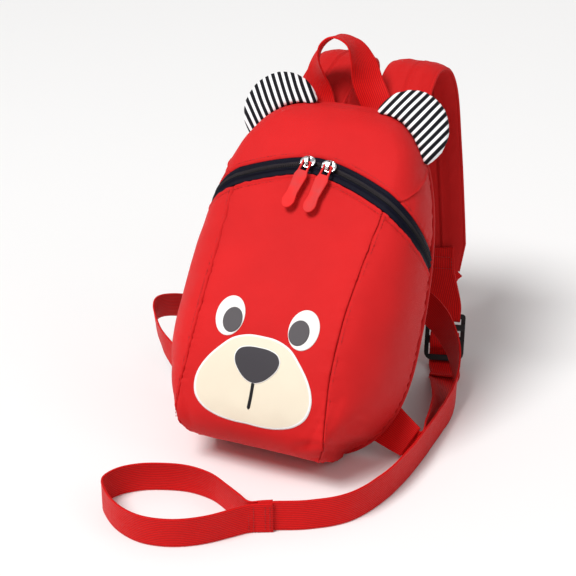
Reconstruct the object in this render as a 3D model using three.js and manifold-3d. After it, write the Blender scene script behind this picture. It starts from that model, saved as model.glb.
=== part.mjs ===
// Toddler harness backpack: a small zipped bag with a plain bear face, two round ears, padded
// shoulder straps, a fastened chest strap and a clip-on leash that ends in a hand loop.
// Millimetres, +Z up. The bear's face looks along -Y and +X is on the viewer's right.
// The bag leans back on its bottom edge and on the two ladder locks of its shoulder straps.
import * as THREE from 'three';
import { mergeVertices } from 'three/addons/utils/BufferGeometryUtils.js';
import Module from 'manifold-3d';

const wasm = await Module();
wasm.setup();

// Driving dimensions of the bag
const bagWidth = 190;
const bagHeight = 280;
const bagDepth = 87;
const leanBack = 30;
const clothWall = 2;
const seamGap = 0.3;
const restSink = 5;
const restForward = 4;
const footRadius = 19;
const sideRound = 9;
const sideBulge = 4;
const faceCrown = 2.6;

// Closing zip
const zipCentre = 230;
const zipEnd = 176;
const zipBend = 1.6;
const tapeWidth = 14;
const tapeThickness = 1.2;
const coilWidth = 4.4;
const coilHeight = 1.4;
const sliderLength = 10;
const sliderWidth = 8;
const sliderHeight = 3;
const bridgeHeight = 3.6;
const bridgeWire = 1.2;
const pullLength = 31;
const pullWidth = 9.6;
const pullThickness = 1.6;
const pullLift = 1.25;

// Back of the bag
const pipingRadius = 2;
const panelInset = 3.3;
const panelEdge = 3.6;
const panelPad = 5.5;
const strapSeam = 247;
const bandHeight = 42;
const bandThickness = 0.8;

// Ears
const earWidth = 66;
const earHeight = 41;
const earThickness = 17;
const earOuter = 73;
const earInner = 27;

// Webbing and plastic
const webbingWidth = 25;
const webbingThickness = 1.6;
const handleRise = 50;
const handleSpan = 50;
const ringTabWidth = 22;
const ringWire = 2.1;
const ringWidth = 27.6;
const ringDrop = 17;
const strapWidth = 46;
const strapPadding = 8;
const lockWidth = 34;
const lockLength = 41;
const lockThickness = 3.4;
const lockSlot = 26.6;
const chestWidth = 20;
const buckleLength = 29;
const buckleWidth = 31;
const buckleThickness = 10;
const hookLength = 42;
const hookThickness = 6;
const swivelRadius = 8;
const swivelHeight = 15;
const stemRadius = 3;

// Share of the height from the bottom, with the depth at the middle of the front as a share of
// bagDepth, and the half width of the front panel as a share of half of bagWidth.
const sectionRows = [
  { up: 0.0, depth: 0.87, seam: 0.66 },
  { up: 0.12, depth: 0.975, seam: 0.64 },
  { up: 0.24, depth: 1.0, seam: 0.615 },
  { up: 0.38, depth: 0.945, seam: 0.61 },
  { up: 0.5, depth: 0.845, seam: 0.625 },
  { up: 0.62, depth: 0.735, seam: 0.65 },
  { up: 0.72, depth: 0.645, seam: 0.67 },
  { up: 0.82, depth: 0.557, seam: 0.66 },
  { up: 0.92, depth: 0.414, seam: 0.52 },
  { up: 0.975, depth: 0.218, seam: 0.36 },
  { up: 1.0, depth: 0.01, seam: 0.26 },
];

// The back outline: its widest place as a share of the height, and the powers of the two
// rounded quarters below and above it.
const rimWidest = 0.357;
const rimLower = { along: 2.6, across: 2.85 };
const rimUpper = { along: 2.2, across: 3.33 };

const fabric = (colour, roughness) =>
  new THREE.MeshStandardMaterial({ color: colour, roughness, metalness: 0, side: THREE.DoubleSide });
const redCloth = fabric(0xd6232a, 0.72);
const redWebbing = fabric(0xdc1a1e, 0.8);
const redPiping = fabric(0xc81c22, 0.7);
const redRubber = fabric(0xe02a2c, 0.5);
const navyCloth = fabric(0x14172a, 0.85);
const navyMesh = fabric(0x0b0e22, 0.95);
const coilPlastic = fabric(0x3a3634, 0.5);
const blackPlastic = fabric(0x121214, 0.35);
const stripedCloth = fabric(0xb8b8bc, 0.85);
const creamPrint = fabric(0xfaf0dc, 0.75);
const whitePrint = fabric(0xfafafa, 0.75);
const greyPrint = fabric(0x65606a, 0.75);
const nosePrint = fabric(0x4b474d, 0.75);
const silverMetal = new THREE.MeshStandardMaterial({ color: 0xc9c9cc, roughness: 0.25, metalness: 0.95 });

const object = new THREE.Group();
const bag = new THREE.Group();
const lean = THREE.MathUtils.degToRad(leanBack);
bag.rotation.x = -lean;
bag.position.set(0, restForward, -restSink);
object.add(bag);

const vec = (x, y, z) => new THREE.Vector3(x, y, z);
const toWorld = (p) => p.clone().applyAxisAngle(vec(1, 0, 0), -lean).add(bag.position);

function addMesh(parent, name, geometry, material) {
  const mesh = new THREE.Mesh(geometry, material);
  mesh.name = name;
  parent.add(mesh);
  return mesh;
}

// Geometry from corner points and triangles, turned so that its faces look outwards.
function closedGeometry(points, triangles) {
  let volume = 0;
  const normal = new THREE.Vector3();
  for (const [a, b, c] of triangles) {
    volume += points[a].dot(normal.crossVectors(points[b], points[c]));
  }
  const geometry = new THREE.BufferGeometry();
  const flat = points.flatMap((p) => [p.x, p.y, p.z]);
  const index = volume > 0 ? triangles.flat() : triangles.flatMap(([a, b, c]) => [a, c, b]);
  geometry.setAttribute('position', new THREE.Float32BufferAttribute(flat, 3));
  geometry.setIndex(index);
  geometry.computeVertexNormals();
  return geometry;
}

// A sheet with two faces: each face is a grid of points, rows by columns, joined at its edges.
function sheet(upper, lower) {
  const rows = upper.length;
  const columns = upper[0].length;
  const points = [...upper.flat(), ...lower.flat()];
  const triangles = [];
  const at = (side, row, column) => side * rows * columns + row * columns + column;
  const quad = (a, b, c, d) => triangles.push([a, b, c], [a, c, d]);
  for (let row = 0; row < rows - 1; row += 1) {
    for (let column = 0; column < columns - 1; column += 1) {
      const corners = [[row, column], [row, column + 1], [row + 1, column + 1], [row + 1, column]];
      quad(...corners.map(([r, c]) => at(0, r, c)));
      quad(...corners.map(([r, c]) => at(1, r, c)).reverse());
    }
  }
  for (let column = 0; column < columns - 1; column += 1) {
    quad(at(0, 0, column + 1), at(0, 0, column), at(1, 0, column), at(1, 0, column + 1));
    const last = rows - 1;
    quad(at(0, last, column), at(0, last, column + 1), at(1, last, column + 1), at(1, last, column));
  }
  for (let row = 0; row < rows - 1; row += 1) {
    quad(at(0, row, 0), at(0, row + 1, 0), at(1, row + 1, 0), at(1, row, 0));
    const last = columns - 1;
    quad(at(0, row + 1, last), at(0, row, last), at(1, row, last), at(1, row + 1, last));
  }
  return closedGeometry(points, triangles);
}

// A body of sections that follow each other: closed at both ends, or joined into a ring.
function loft(sections, isRing = false) {
  const count = sections[0].length;
  const points = sections.flat();
  const triangles = [];
  const spans = isRing ? sections.length : sections.length - 1;
  for (let row = 0; row < spans; row += 1) {
    const here = row * count;
    const next = ((row + 1) % sections.length) * count;
    for (let i = 0; i < count; i += 1) {
      const j = (i + 1) % count;
      triangles.push([here + i, here + j, next + j], [here + i, next + j, next + i]);
    }
  }
  if (!isRing) {
    const last = (sections.length - 1) * count;
    for (let i = 1; i < count - 1; i += 1) {
      triangles.push([0, i + 1, i], [last, last + i, last + i + 1]);
    }
  }
  return closedGeometry(points, triangles);
}

const steps = (from, to, count) =>
  Array.from({ length: count + 1 }, (_, i) => from + ((to - from) * i) / count);

function curveThrough(list) {
  return new THREE.CatmullRomCurve3(list.map((p) => vec(...p)), false, 'centripetal');
}

// Rows spaced evenly along a route. Each row has a place, and the direction in which the width
// of what is carried lies there.
function spaced(route, count) {
  const path = curveThrough(route.map((row) => row.at));
  const sides = curveThrough(route.map((row) => row.side));
  return steps(0, 1, count).map((share) => {
    const t = path.getUtoTmapping(share);
    return { at: path.getPoint(t), side: sides.getPoint(t) };
  });
}

// Carries a section, given as [across, out] pairs, through rows of places and sides.
function carried(rows, section, scale = () => [1, 1]) {
  const sections = rows.map(({ at, side }, i) => {
    const before = rows[Math.max(0, i - 1)].at;
    const after = rows[Math.min(rows.length - 1, i + 1)].at;
    const along = after.clone().sub(before).normalize();
    const square = side.clone().addScaledVector(along, -side.dot(along)).normalize();
    const out = new THREE.Vector3().crossVectors(along, square);
    const [wide, thick] = scale(i / (rows.length - 1));
    return section.map(([a, b]) =>
      at.clone().addScaledVector(square, a * wide).addScaledVector(out, b * thick));
  });
  return loft(sections);
}

const rectangle = (width, thickness) => [
  [-width / 2, -thickness / 2],
  [width / 2, -thickness / 2],
  [width / 2, thickness / 2],
  [-width / 2, thickness / 2],
];

function webbing(rows, width = webbingWidth, thickness = webbingThickness) {
  return carried(rows, rectangle(width, thickness));
}

function mirroredGeometry(geometry) {
  const copy = geometry.clone().scale(-1, 1, 1);
  const index = copy.index.array;
  for (let i = 0; i < index.length; i += 3) {
    [index[i + 1], index[i + 2]] = [index[i + 2], index[i + 1]];
  }
  copy.computeVertexNormals();
  return copy;
}

// Turns a geometry into a solid that can be joined or cut, and back.
function toSolid(geometry, matrix = new THREE.Matrix4()) {
  const plain = geometry.clone().applyMatrix4(matrix);
  plain.deleteAttribute('normal');
  plain.deleteAttribute('uv');
  const merged = mergeVertices(plain, 1e-4);
  return new wasm.Manifold(new wasm.Mesh({
    numProp: 3,
    vertProperties: new Float32Array(merged.attributes.position.array),
    triVerts: new Uint32Array(merged.index.array),
  }));
}

function fromSolid(solid) {
  const mesh = solid.getMesh();
  const geometry = new THREE.BufferGeometry();
  geometry.setAttribute('position', new THREE.Float32BufferAttribute(mesh.vertProperties, 3));
  geometry.setIndex(Array.from(mesh.triVerts));
  geometry.computeVertexNormals();
  return geometry;
}

const moved = (x, y, z) => new THREE.Matrix4().makeTranslation(x, y, z);
const turned = (x, y, z) => new THREE.Matrix4().makeRotationFromEuler(new THREE.Euler(x, y, z));

// Smooth value from a table at a share of the height, by a cubic that never overshoots.
function smooth(rows, key, up) {
  const last = rows.length - 2;
  let i = 0;
  while (i < last && rows[i + 1].up < up) {
    i += 1;
  }
  const slope = (k) => (rows[k + 1][key] - rows[k][key]) / (rows[k + 1].up - rows[k].up);
  const tangent = (k) => {
    if (k === 0) {
      return slope(0);
    }
    if (k === rows.length - 1) {
      return slope(k - 1);
    }
    const before = slope(k - 1);
    const after = slope(k);
    return before * after <= 0 ? 0 : (2 * before * after) / (before + after);
  };
  const span = rows[i + 1].up - rows[i].up;
  const t = THREE.MathUtils.clamp((up - rows[i].up) / span, 0, 1);
  const square = t * t;
  const cube = square * t;
  return (2 * cube - 3 * square + 1) * rows[i][key]
    + (cube - 2 * square + t) * span * tangent(i)
    + (3 * square - 2 * cube) * rows[i + 1][key]
    + (cube - square) * span * tangent(i + 1);
}

// Shape of the bag, in its own frame: x across, y backwards from the back seam, z up the back
const halfWidth = bagWidth / 2;
const seamPlace = 0.5;
const rimForward = 1.1;
const rimCut = (restSink + pipingRadius + 0.6) / Math.cos(lean) - 0.6;

function rimHalf(up) {
  const low = THREE.MathUtils.clamp((rimWidest - up) / rimWidest, 0, 1);
  const high = THREE.MathUtils.clamp((up - rimWidest) / (1 - rimWidest), 0, 1);
  return up < rimWidest
    ? halfWidth * (1 - low ** rimLower.along) ** (1 / rimLower.across)
    : halfWidth * (1 - high ** rimUpper.along) ** (1 / rimUpper.across);
}

// The lowest and highest sections start where the back outline turns into its short flat ends.
const rimBottom = rimCut / bagHeight;
const rimTop = 0.988;
const topHalf = rimHalf(rimTop);
const baseHalf = rimHalf(rimBottom);

const rounded = (height, radius) => {
  const low = 1 - THREE.MathUtils.clamp(height / radius, 0, 1);
  return Math.sqrt(1 - low * low);
};

// Point of the bag's outer face: up is the share of the height, across runs from -1 at the
// left back seam to 1 at the right one, with the front panel's seams at half way.
function bagPoint(up, across) {
  const height = up * bagHeight;
  const reach = Math.abs(across);
  const plainDeep = bagDepth * smooth(sectionRows, 'depth', up);
  const deep = Math.max(rimForward, plainDeep - footRadius * (1 - rounded(height, footRadius)));
  const rim = rimHalf(THREE.MathUtils.clamp(up, rimBottom, rimTop));
  const seam = Math.min(halfWidth * smooth(sectionRows, 'seam', up), 0.86 * rim + 0.14 * halfWidth)
    - sideRound * (1 - rounded(height, sideRound));
  const seamDeep = Math.max(deep - faceCrown * Math.min(1, deep / 40), rimForward + 0.4 * (deep - rimForward));
  let x;
  let forward;
  let turn = 0;
  if (reach <= seamPlace) {
    const share = reach / seamPlace;
    x = seam * share;
    forward = deep - (deep - seamDeep) * share * share;
  } else {
    turn = (reach - seamPlace) / (1 - seamPlace);
    const corner = Math.max(seam, rim) + sideBulge * Math.min(1, height / 60);
    const cornerDeep = 0.85 * seamDeep;
    x = (1 - turn) ** 2 * seam + 2 * turn * (1 - turn) * corner + turn * turn * rim;
    forward = (1 - turn) ** 2 * seamDeep + 2 * turn * (1 - turn) * cornerDeep + turn * turn * rimForward;
  }
  const rimHeight = THREE.MathUtils.clamp(up, rimBottom, rimTop) * bagHeight;
  let z = height;
  if (height < rimHeight) {
    z += (rimHeight - height) * turn ** 16;
  } else if (up > rimTop) {
    z = rimHeight + (height - rimHeight) * (1 - Math.min(1, x / topHalf) ** rimUpper.across);
  }
  return vec(Math.sign(across) * x, -forward, z);
}

// Direction from the bag's face to its outside, the same for every panel that meets there.
function outward(p) {
  const middle = 0.45 * bagHeight;
  const ax = halfWidth + 8;
  const ay = bagDepth + 14;
  const az = 0.56 * bagHeight;
  const direction = vec((p.x / ax) ** 3 / ax, (Math.min(p.y, 0) / ay) ** 3 / ay, ((p.z - middle) / az) ** 3 / az);
  return direction.normalize();
}

// Keeps a point of the bag at least this far above the surface that the bag rests on.
function lifted(p, clear) {
  const lowest = (restSink + clear + p.y * Math.sin(lean)) / Math.cos(lean);
  return vec(p.x, p.y, Math.max(p.z, lowest));
}

// Face of the bag moved outwards, or inwards where offset is negative.
function skinPoint(up, across, offset) {
  const p = bagPoint(up, across);
  return lifted(p.clone().addScaledVector(outward(p), offset), Math.max(0, -offset));
}

const zipUpper = (across) =>
  (zipCentre - (zipCentre - zipEnd) * Math.abs(across) ** zipBend) / bagHeight;
const zipSlope = (across) => Math.abs(across) ** (zipBend - 1) * 0.2;
const zipLower = (across) => zipUpper(across) - (tapeWidth / bagHeight) * (1 + zipSlope(across));

const frontColumns = 10;
const sideColumns = 6;
const bodyRows = 14;
const trim = seamGap / 2;
const acrossTrim = trim / (2 * 0.62 * halfWidth);
const upTrim = trim / bagHeight;

// Panel between two lines across the bag, each a function of the place across.
function panelGrid(columns, rows, lower, upper, offset) {
  return rows.map((share) => columns.map((across) => {
    const low = lower(across);
    const high = upper(across);
    return skinPoint(low + (high - low) * share, across, offset);
  }));
}

function inset(list, left, right) {
  const copy = [...list];
  copy[0] += left;
  copy[copy.length - 1] -= right;
  return copy;
}

const bodyShares = [0, 0.012, 0.035, 0.07, 0.11, ...steps(0.17, 1, bodyRows - 4)];

function makeFrontPanel() {
  const columns = inset(steps(-seamPlace, seamPlace, frontColumns), acrossTrim, acrossTrim);
  const bottom = () => 0;
  const top = (across) => zipLower(across) - upTrim;
  const last = 1 - 1 / sideColumns;
  const turns = [1, 0.985, 0.97, 0.945, 0.92, 0.88, last, last - 0.17, last - 0.34, 0.25];
  // The base's edges run straight between the two gusset columns that are nearest the rim
  const baseEdge = (turn) => {
    const at = (t) => bagPoint(0, seamPlace + (1 - seamPlace) * t);
    return turn > last ? at(last).lerp(at(1), (turn - last) / (1 - last)) : at(turn);
  };
  const grid = (offset) => {
    const base = turns.map((turn) => columns.map((across) => {
      const side = baseEdge(turn);
      const share = across / seamPlace;
      const height = turn === 1 ? side.z : side.z * Math.abs(share) ** 6;
      const p = vec((side.x - 0.6 * seamGap) * share, side.y, height);
      return lifted(p.clone().addScaledVector(outward(p), offset), Math.max(0, -offset));
    }));
    return [...base, ...panelGrid(columns, bodyShares, bottom, top, offset)];
  };
  addMesh(bag, 'front_panel', sheet(grid(0), grid(-clothWall)), redCloth);
}

const mirrored = (grid) => grid.map((row) => row.map((p) => vec(-p.x, p.y, p.z)));

// A piece of each side: made for the right and mirrored for the left.
function addPair(parent, name, make, material) {
  const [upper, lower] = make();
  addMesh(parent, `${name}_right`, sheet(upper, lower), material);
  addMesh(parent, `${name}_left`, sheet(mirrored(upper), mirrored(lower)), material);
}

function makeGussets() {
  const columns = inset(steps(seamPlace, 1, sideColumns), acrossTrim, 0);
  const bottom = () => upTrim;
  const top = (across) => zipLower(across) - upTrim;
  const grid = (offset) => panelGrid(columns, bodyShares, bottom, top, offset);
  addPair(bag, 'side_gusset', () => [grid(0), grid(-clothWall)], redCloth);
}

// The zip: a tape sunk a little between the two panels, and its closed coil along the middle
const zipColumns = [
  ...steps(-1, -seamPlace, sideColumns),
  ...steps(-seamPlace, seamPlace, frontColumns).slice(1, -1),
  ...steps(seamPlace, 1, sideColumns),
];
const tapeSunk = 0.5;

const zipMiddle = (across) => (zipUpper(across) + zipLower(across)) / 2;

function makeZip() {
  const tape = (offset) => panelGrid(zipColumns, [0, 0.5, 1], (a) => zipLower(a) + upTrim, (a) => zipUpper(a) - upTrim, offset);
  addMesh(bag, 'zip_tape', sheet(tape(-tapeSunk), tape(-tapeSunk - tapeThickness)), navyCloth);
  const half = coilWidth / 2 / bagHeight;
  const coil = (offset) => panelGrid(zipColumns, [0, 0.5, 1], (a) => zipMiddle(a) - half, (a) => zipMiddle(a) + half, offset);
  const foot = seamGap - tapeSunk;
  addMesh(bag, 'zip_coil', sheet(coil(foot + coilHeight), coil(foot)), coilPlastic);
}

// The top of the bag: a dome over the zip, and a small yoke at each side below the ear
const yokePlace = 0.6;
const yokeTop = 0.86;
const topRows = 8;
const domeColumns = [
  ...steps(-1, -yokePlace, 5),
  ...steps(-yokePlace, yokePlace, 10).slice(1, -1),
  ...steps(yokePlace, 1, 5),
];

function yokeLine(across) {
  const start = zipUpper(yokePlace);
  const share = Math.max(0, (Math.abs(across) - yokePlace) / (1 - yokePlace));
  return start + (yokeTop - start) * share ** 1.2;
}

function makeTop() {
  const low = (across) => (Math.abs(across) <= yokePlace ? zipUpper(across) : yokeLine(across)) + upTrim * 1.5;
  const shares = steps(0, 1, topRows).map((t) => 1 - (1 - t) ** 1.5);
  const dome = (offset) => panelGrid(domeColumns, shares, low, () => 1, offset);
  addMesh(bag, 'top_panel', sheet(dome(0), dome(-clothWall)), redCloth);
  const columns = steps(yokePlace + 0.02, 1, 5);
  const under = (across) => zipUpper(across) + upTrim;
  const over = (across) => yokeLine(across) - upTrim * 1.5;
  const yoke = (offset) => panelGrid(columns, steps(0, 1, 4), under, over, offset);
  addPair(bag, 'side_yoke', () => [yoke(0), yoke(-clothWall)], redCloth);
}

// Outline of the back, followed once round, with its bottom cut level where the bag rests
const rimSteps = 52;

function rimOutline(offset) {
  const plain = (turn) => {
    const c = Math.cos(turn);
    const s = Math.sin(turn);
    const powers = s >= 0 ? rimUpper : rimLower;
    const x = halfWidth * Math.sign(c) * Math.abs(c) ** (2 / powers.across);
    const span = s >= 0 ? 1 - rimWidest : rimWidest;
    const z = bagHeight * (rimWidest + Math.sign(s) * span * Math.abs(s) ** (2 / powers.along));
    return new THREE.Vector2(x, Math.max(z, rimCut));
  };
  return steps(0, 2 * Math.PI, rimSteps).slice(0, -1).map((turn) => {
    const before = plain(turn - 0.03);
    const after = plain(turn + 0.03);
    const normal = new THREE.Vector2(after.y - before.y, before.x - after.x).normalize();
    const p = plain(turn).addScaledVector(normal, offset);
    p.y = Math.max(p.y, rimCut + offset);
    return p;
  });
}

function makePiping() {
  const centre = rimOutline(-0.6);
  const middle = vec(0, -0.1 - pipingRadius + rimForward + 1, 0.45 * bagHeight);
  const sections = centre.map((p) => {
    const out = vec(p.x, 0, p.y - middle.z).normalize();
    return steps(0, 2 * Math.PI, 6).slice(0, -1).map((turn) =>
      vec(p.x, pipingRadius + 0.3 - rimForward, p.y)
        .addScaledVector(out, pipingRadius * Math.cos(turn))
        .add(vec(0, pipingRadius * Math.sin(turn), 0)));
  });
  addMesh(bag, 'piping', loft(sections, true), redPiping);
}

// Padded back: the distance that its outer face stands behind the back seam
const panelRings = 4;

function padBack(x, z) {
  const up = z / bagHeight;
  const wide = Math.max(rimHalf(THREE.MathUtils.clamp(up, 0.02, 0.985)) - panelInset, 1);
  const sideShare = Math.min(1, Math.abs(x) / wide);
  const endShare = Math.min(1, Math.abs(2 * up - 1));
  return panelEdge - 1.2 + panelPad * (1 - sideShare ** 3) * (1 - endShare ** 4);
}

function makeBackPanel() {
  const outline = rimOutline(-0.6 - pipingRadius - seamGap - 0.3);
  const heart = new THREE.Vector2(0, 0.47 * bagHeight);
  const points = [];
  const triangles = [];
  const face = (back) => {
    const start = points.length;
    for (let ring = 1; ring <= panelRings; ring += 1) {
      const share = 1 - (1 - ring / panelRings) ** 1.4;
      for (const p of outline) {
        const q = heart.clone().lerp(p, share);
        points.push(vec(q.x, back ? padBack(q.x, q.y) : -1.2, q.y));
      }
    }
    points.push(vec(heart.x, back ? padBack(heart.x, heart.y) : -1.2, heart.y));
    return start;
  };
  const count = outline.length;
  const starts = [face(true), face(false)];
  starts.forEach((start, side) => {
    const add = (a, b, c) => triangles.push(side === 0 ? [a, b, c] : [a, c, b]);
    const middle = start + panelRings * count;
    for (let i = 0; i < count; i += 1) {
      const j = (i + 1) % count;
      add(middle, start + j, start + i);
      for (let ring = 0; ring < panelRings - 1; ring += 1) {
        const inner = start + ring * count;
        const outer = inner + count;
        add(inner + i, inner + j, outer + j);
        add(inner + i, outer + j, outer + i);
      }
    }
  });
  const rimBack = starts[0] + (panelRings - 1) * count;
  const rimFront = starts[1] + (panelRings - 1) * count;
  for (let i = 0; i < count; i += 1) {
    const j = (i + 1) % count;
    triangles.push([rimBack + i, rimBack + j, rimFront + j], [rimBack + i, rimFront + j, rimFront + i]);
  }
  addMesh(bag, 'back_panel', closedGeometry(points, triangles), navyMesh);
}

// Smooth band across the back, and the webbing that is sewn above it
function onBack(x, z, lift) {
  return vec(x, padBack(x, z) + lift, z);
}

function makeBackBand() {
  const rows = steps(strapSeam - bandHeight, strapSeam, 3);
  const face = (lift) => rows.map((z) => {
    const reach = 0.93 * (rimHalf(z / bagHeight) - panelInset);
    return steps(-reach, reach, 12).map((x) => onBack(x, z, lift));
  });
  addMesh(bag, 'back_band', sheet(face(seamGap + bandThickness), face(seamGap)), navyCloth);
}

const clearOfBack = seamGap + webbingThickness / 2;

// Both of its legs are sewn flat on the back, and the loop above the rim flops to one side
const handleRoute = [
  { at: [0, 5.8, 17], side: [-1, 0, 0] },
  { at: [-6, 4.9, 34], side: [-0.99, 0.1, 0] },
  { at: [-10.5, 0.5, 49], side: [-0.85, 0.5, 0] },
  { at: [-9, -7, 64], side: [-0.5, 0.85, 0.2] },
  { at: [-2, -14.5, 75], side: [-0.15, 1, 0.3] },
  { at: [8, -18.5, 80], side: [0, 1, 0.35] },
  { at: [20, -15.5, 77], side: [0.15, 1, 0.3] },
  { at: [28.5, -8, 66], side: [0.5, 0.85, 0.2] },
  { at: [34.5, 0, 50], side: [0.85, 0.5, 0] },
  { at: [44, 5.2, 33], side: [0.99, 0.1, 0] },
  { at: [50, 5.9, 17], side: [1, 0, 0] },
];

function makeGrabHandle() {
  const foot = onBack(handleSpan / 2, strapSeam + 4, clearOfBack);
  const route = handleRoute.map(({ at, side }) => ({
    at: [at[0] - handleSpan / 2, at[1], strapSeam + 4 + (at[2] * handleRise) / 50],
    side,
  }));
  const first = { at: [-foot.x, foot.y, foot.z], side: [-1, 0, 0] };
  const last = { at: foot.toArray(), side: [1, 0, 0] };
  addMesh(bag, 'grab_handle', webbing(spaced([first, ...route, last], 34)), redWebbing);
}

// Flat strip through the given points, each section square to the bend there
function strip(points, side, width, thickness) {
  const sections = points.map((p, i) => {
    const before = points[Math.max(0, i - 1)];
    const after = points[Math.min(points.length - 1, i + 1)];
    const along = after.clone().sub(before).normalize();
    const first = p.clone().sub(before);
    const stretch = i === 0 || i === points.length - 1 ? 1 : 1 / Math.max(0.5, first.normalize().dot(along));
    const out = new THREE.Vector3().crossVectors(along, side).normalize();
    return rectangle(width, thickness).map(([a, b]) =>
      p.clone().addScaledVector(side, a).addScaledVector(out, b * stretch));
  });
  return loft(sections);
}

// Points of an arc in the plane of two directions
function arc(centre, first, second, radius, from, to, count) {
  return steps(THREE.MathUtils.degToRad(from), THREE.MathUtils.degToRad(to), count).map((turn) =>
    centre.clone()
      .addScaledVector(first, radius * Math.cos(turn))
      .addScaledVector(second, radius * Math.sin(turn)));
}

// Closed round wire along a ring of points
function wireRing(points, radius, sides) {
  const middle = points.reduce((sum, p) => sum.add(p), vec(0, 0, 0)).divideScalar(points.length);
  const sections = points.map((p, i) => {
    const before = points[(i + points.length - 1) % points.length];
    const after = points[(i + 1) % points.length];
    const along = after.clone().sub(before).normalize();
    const normal = new THREE.Vector3().crossVectors(p.clone().sub(middle), along).normalize();
    const out = new THREE.Vector3().crossVectors(along, normal).normalize();
    return steps(0, 2 * Math.PI, sides).slice(0, -1).map((turn) =>
      p.clone().addScaledVector(out, radius * Math.cos(turn)).addScaledVector(normal, radius * Math.sin(turn)));
  });
  return loft(sections, true);
}

const ringBarHeight = strapSeam + 3.8;
const ringBar = onBack(0, ringBarHeight, seamGap + webbingThickness + seamGap + ringWire);
const xAxis = vec(1, 0, 0);
const yAxis = vec(0, 1, 0);
const zAxis = vec(0, 0, 1);

// Tab that lies on the back below the rim and folds round the straight side of the ring
function makeRingTab() {
  const turnRadius = ringWire + seamGap + webbingThickness / 2;
  const points = [
    onBack(0, 271, clearOfBack),
    onBack(0, 263, clearOfBack),
    onBack(0, 256.5, clearOfBack),
    ...arc(ringBar, yAxis, zAxis, turnRadius, 165, 360, 8),
    vec(0, ringBar.y + turnRadius - 0.2, ringBar.z + 4),
    vec(0, ringBar.y + turnRadius - 1.6, ringBar.z + 12),
    vec(0, ringBar.y + turnRadius - 2.6, ringBar.z + 21),
  ];
  addMesh(bag, 'ring_tab', strip(points, xAxis, ringTabWidth, webbingThickness), redWebbing);
}

const ringWorld = toWorld(ringBar);

function makeRing() {
  const half = ringWidth / 2;
  const corner = 2.4;
  const points = [
    vec(-half + corner, 0, 0),
    vec(0, 0, 0),
    vec(half - corner, 0, 0),
    ...arc(vec(half - corner, 0, -corner), xAxis, zAxis, corner, 60, 0, 2),
    ...arc(vec(0, 0, -corner), xAxis, vec(0, 0, -(ringDrop - corner) / half), half, 20, 160, 8),
    ...arc(vec(-half + corner, 0, -corner), xAxis, zAxis, corner, 180, 120, 2),
  ].map((p) => p.add(ringWorld));
  addMesh(object, 'd_ring', wireRing(points, ringWire, 8), blackPlastic);
}

// Hook of the leash, drawn upright: its eye hangs on the ring and its frame carries the leash.
// In its own frame x runs across the hook's opening and z up along its swivel.
const hook = new THREE.Group();
const eyeOuter = 11;
const eyeInner = 6;
const eyeHeight = hookLength - eyeOuter;
hook.rotation.z = Math.PI / 2;
hook.position.copy(ringWorld);
hook.position.z += ringWire + 2 * seamGap - ringDrop - eyeHeight - eyeInner;
object.add(hook);

const frameWidth = 37;
const frameHeight = 15;
const frameBar = 3.6;
const frameSlot = 27.4;

function plate(outline, thickness, holes = []) {
  const shape = new THREE.Shape(outline.map(([a, b]) => new THREE.Vector2(a, b)));
  for (const hole of holes) {
    shape.holes.push(new THREE.Path(hole.map(([a, b]) => new THREE.Vector2(a, b))));
  }
  const geometry = new THREE.ExtrudeGeometry(shape, { depth: thickness, bevelEnabled: false, curveSegments: 6 });
  geometry.translate(0, 0, -thickness / 2);
  return geometry;
}

const flatArc = (x, y, radius, from, to, count) =>
  steps(THREE.MathUtils.degToRad(from), THREE.MathUtils.degToRad(to), count).map((turn) =>
    [x + radius * Math.cos(turn), y + radius * Math.sin(turn)]);

function roundedRectangle(width, height, radius, y = 0) {
  const a = width / 2 - radius;
  const b = height / 2 - radius;
  return [
    ...flatArc(a, y - b, radius, -90, 0, 3),
    ...flatArc(a, y + b, radius, 0, 90, 3),
    ...flatArc(-a, y + b, radius, 90, 180, 3),
    ...flatArc(-a, y - b, radius, 180, 270, 3),
  ];
}

const upright = turned(Math.PI / 2, 0, 0);
const cylinder = (radius, height, sides) =>
  new THREE.CylinderGeometry(radius, radius, height, sides).applyMatrix4(upright);

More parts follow.
